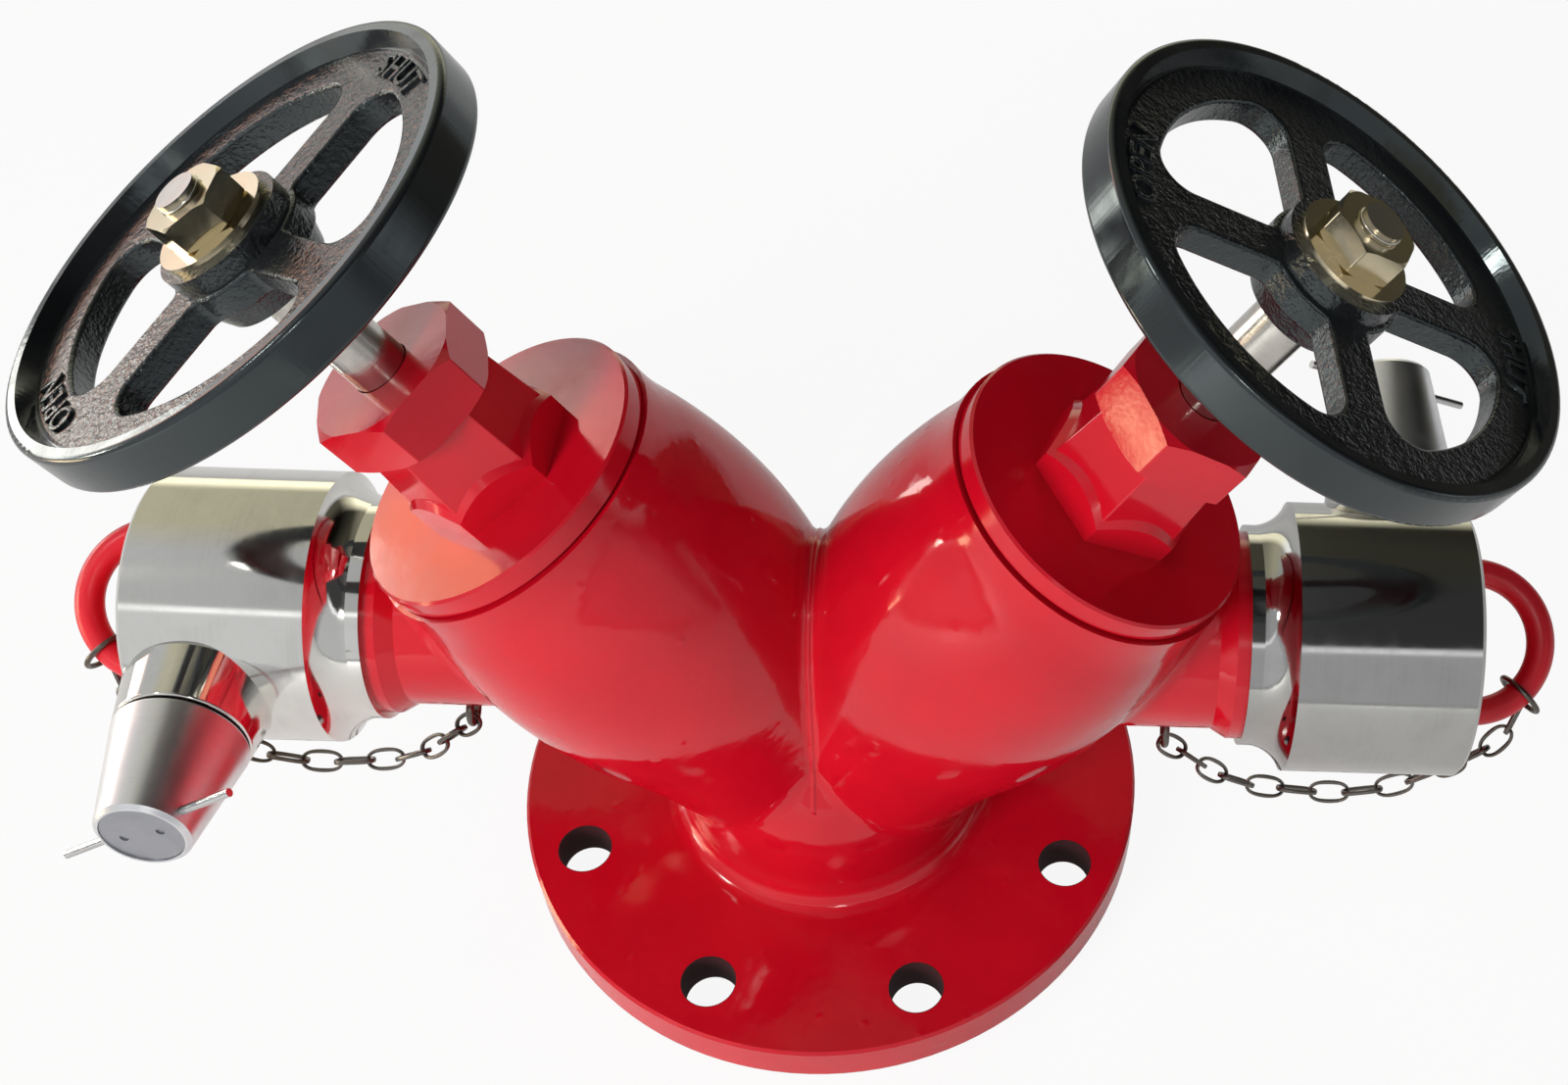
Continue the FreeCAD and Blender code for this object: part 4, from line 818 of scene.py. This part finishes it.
def cast_word(side, degrees, word):
    shape = flat_word(word)
    for point in shape.verts:
        angle = point.co.x / WORD_RADIUS
        reach = WORD_RADIUS + point.co.y
        point.co = Vector((reach * math.sin(angle), reach * math.cos(angle),
                           WEB_TOP + point.co.z))
    place = wheel_frame(side) @ turn(degrees - 90.0, "Z")
    bmesh.ops.transform(shape, matrix=place, verts=shape.verts)
    name = "%s_cast_%s" % (side, word.lower())
    return finished(shape, name, side + "_wheel", worn_by[side]["handwheel"])


for side in SIDES:
    for degrees, word in WORDS[side]:
        made = cast_word(side, degrees, word)
        print(made.name, len(made.data.polygons), "faces")

# %% [markdown]
# ## The parting ridge
# The two halves of the sand mould met in the plane between the heads, and left a soft ridge down
# the casting. It follows the casting's own skin, so it is cut from a copy of it: three cuts leave
# a narrow strip with an edge down its middle, the faces that look inward are dropped, and the
# middle edge is lifted while the strip's sides sink.

# %% Parting ridge
RIDGE_HALF = 1.1 * MM
RIDGE_RISE = 0.6 * MM
RIDGE_SINK = 0.2 * MM
RIDGE_WALL = 0.2 * MM
RIDGE_FOOT = 62.0 * MM
RIDGE_WELD = 0.25 * MM
SKIN_WELD = 0.002 * MM
CUT_REACH = 0.001 * MM
CASTING_MIDDLE = Vector((0.0, 0.0, 95.0 * MM))


def slice_across(shape, x, away=0.0):
    """A cut across the X axis; what lies on the side of away is dropped."""
    everything = shape.verts[:] + shape.edges[:] + shape.faces[:]
    bmesh.ops.bisect_plane(shape, geom=everything, dist=CUT_REACH, plane_co=(x, 0, 0),
                           plane_no=(away or 1.0, 0, 0), clear_outer=away != 0.0)


def parting_ridge():
    shape = bmesh.new()
    shape.from_mesh(nodes["valve_body"].data)
    bmesh.ops.remove_doubles(shape, verts=shape.verts, dist=SKIN_WELD)
    slice_across(shape, RIDGE_HALF, 1.0)
    slice_across(shape, -RIDGE_HALF, -1.0)
    slice_across(shape, 0.0)
    dropped = []
    for face in shape.faces:
        middle = face.calc_center_median()
        if middle.z < RIDGE_FOOT or face.normal.dot(middle - CASTING_MIDDLE) < 0.0:
            dropped.append(face)
    bmesh.ops.delete(shape, geom=dropped, context="FACES")
    bmesh.ops.remove_doubles(shape, verts=shape.verts, dist=RIDGE_WELD)
    shape.normal_update()
    for point in shape.verts:
        crest = 1.0 - min(1.0, abs(point.co.x) / RIDGE_HALF)
        point.co += point.normal * (crest * (RIDGE_RISE + RIDGE_SINK) - RIDGE_SINK)
    bmesh.ops.solidify(shape, geom=shape.faces[:], thickness=RIDGE_WALL)
    return finished(shape, "parting_ridge", "valve", casting_red)


ridge = parting_ridge()
ridge_low = min(point.co.z for point in ridge.data.vertices)
print("ridge:", len(ridge.data.polygons), "faces, z from", round(ridge_low, 3))

# %% [markdown]
# ## The chains
# A link is a bent and twisted ring of round wire. The solid's links have six-sided wire and
# straight steps in their bends, which is the right length and place but looks faceted from close
# by. A merged copy with its triangles joined back to quads is an even cage, and a Subdivision
# Surface rounds the wire and the bends in one go.

# %% Rounded chains
WIRE_LEVELS = 2
LINK_WELD = 0.004 * MM
QUAD_FOLD = math.radians(50.0)
QUAD_SKEW = math.radians(70.0)


def rounded_chain(side):
    node = side + "_chain"
    shape = bmesh.new()
    shape.from_mesh(nodes[node].data)
    bmesh.ops.remove_doubles(shape, verts=shape.verts, dist=LINK_WELD)
    bmesh.ops.join_triangles(shape, faces=shape.faces, angle_face_threshold=QUAD_FOLD,
                             angle_shape_threshold=QUAD_SKEW)
    piece = finished(shape, side + "_round_chain", "valve", chain_steel)
    wire_round = piece.modifiers.new("round wire", "SUBSURF")
    wire_round.levels = WIRE_LEVELS
    wire_round.render_levels = WIRE_LEVELS
    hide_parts(node)
    return piece


for side in SIDES:
    made = rounded_chain(side)
    print(made.name, len(made.data.polygons), "cage faces")

# %% [markdown]
# ## The lug springs
# Inside each side housing a coil spring presses the lug inward, and pulling the knob shortens it.
# A copy of the solid coil, with a mesh of its own, stands in its place, and its length along
# the lug's axis up to the stop is worked out and printed.

# %% Lug springs
SPRING_STOP = 64.0 * MM
SPRING_WELD = 0.002 * MM


def pressed_spring(side):
    node = side + "_lug_spring"
    shape = bmesh.new()
    shape.from_mesh(nodes[node].data)
    bmesh.ops.remove_doubles(shape, verts=shape.verts, dist=SPRING_WELD)
    place = lug_frame(side)
    into = place.inverted()
    length = SPRING_STOP - min((into @ point.co).z for point in shape.verts)
    piece = finished(shape, side + "_pressed_spring", "valve",
                     worn_by[side]["lug_spring"])
    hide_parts(node)
    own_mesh(piece)
    return length


for side in SIDES:
    print(side, "spring:", round(pressed_spring(side) / MM, 1), "mm")

# %% [markdown]
# ## Stud threads
# The stem's end is a threaded stud, and a turn or two of its thread stands out of the nut. A
# thread is a small triangle carried round the axis while it climbs: Spin does both when its step
# vector is given.

# %% Stud threads
STUD_RADIUS = 6.0 * MM
THREAD_ROOT = STUD_RADIUS - 0.2 * MM
THREAD_CREST = STUD_RADIUS + 0.45 * MM
THREAD_PITCH = 1.25 * MM
THREAD_HALF = THREAD_PITCH * 0.45
THREAD_FOOT = 292.6 * MM
THREAD_TURNS = 2
STEPS_PER_TURN = 36
THREAD_WELD = 0.001 * MM


def stud_thread(side):
    shape = bmesh.new()
    corners = ((THREAD_ROOT, -THREAD_HALF), (THREAD_CREST, 0.0), (THREAD_ROOT, THREAD_HALF))
    points = [shape.verts.new((reach, 0.0, THREAD_FOOT + rise)) for reach, rise in corners]
    profile = shape.faces.new(points)
    bmesh.ops.spin(shape, geom=[profile], cent=(0, 0, 0), axis=(0, 0, 1),
                   dvec=(0, 0, THREAD_PITCH / STEPS_PER_TURN),
                   angle=math.radians(360.0 * THREAD_TURNS),
                   steps=STEPS_PER_TURN * THREAD_TURNS)
    bmesh.ops.remove_doubles(shape, verts=shape.verts, dist=THREAD_WELD)
    bmesh.ops.recalc_face_normals(shape, faces=shape.faces)
    bmesh.ops.transform(shape, matrix=wheel_frame(side), verts=shape.verts)
    return finished(shape, side + "_stud_thread", side + "_wheel",
                    worn_by[side]["spindle"])


for side in SIDES:
    made = stud_thread(side)
    print(made.name, len(made.data.polygons), "faces")
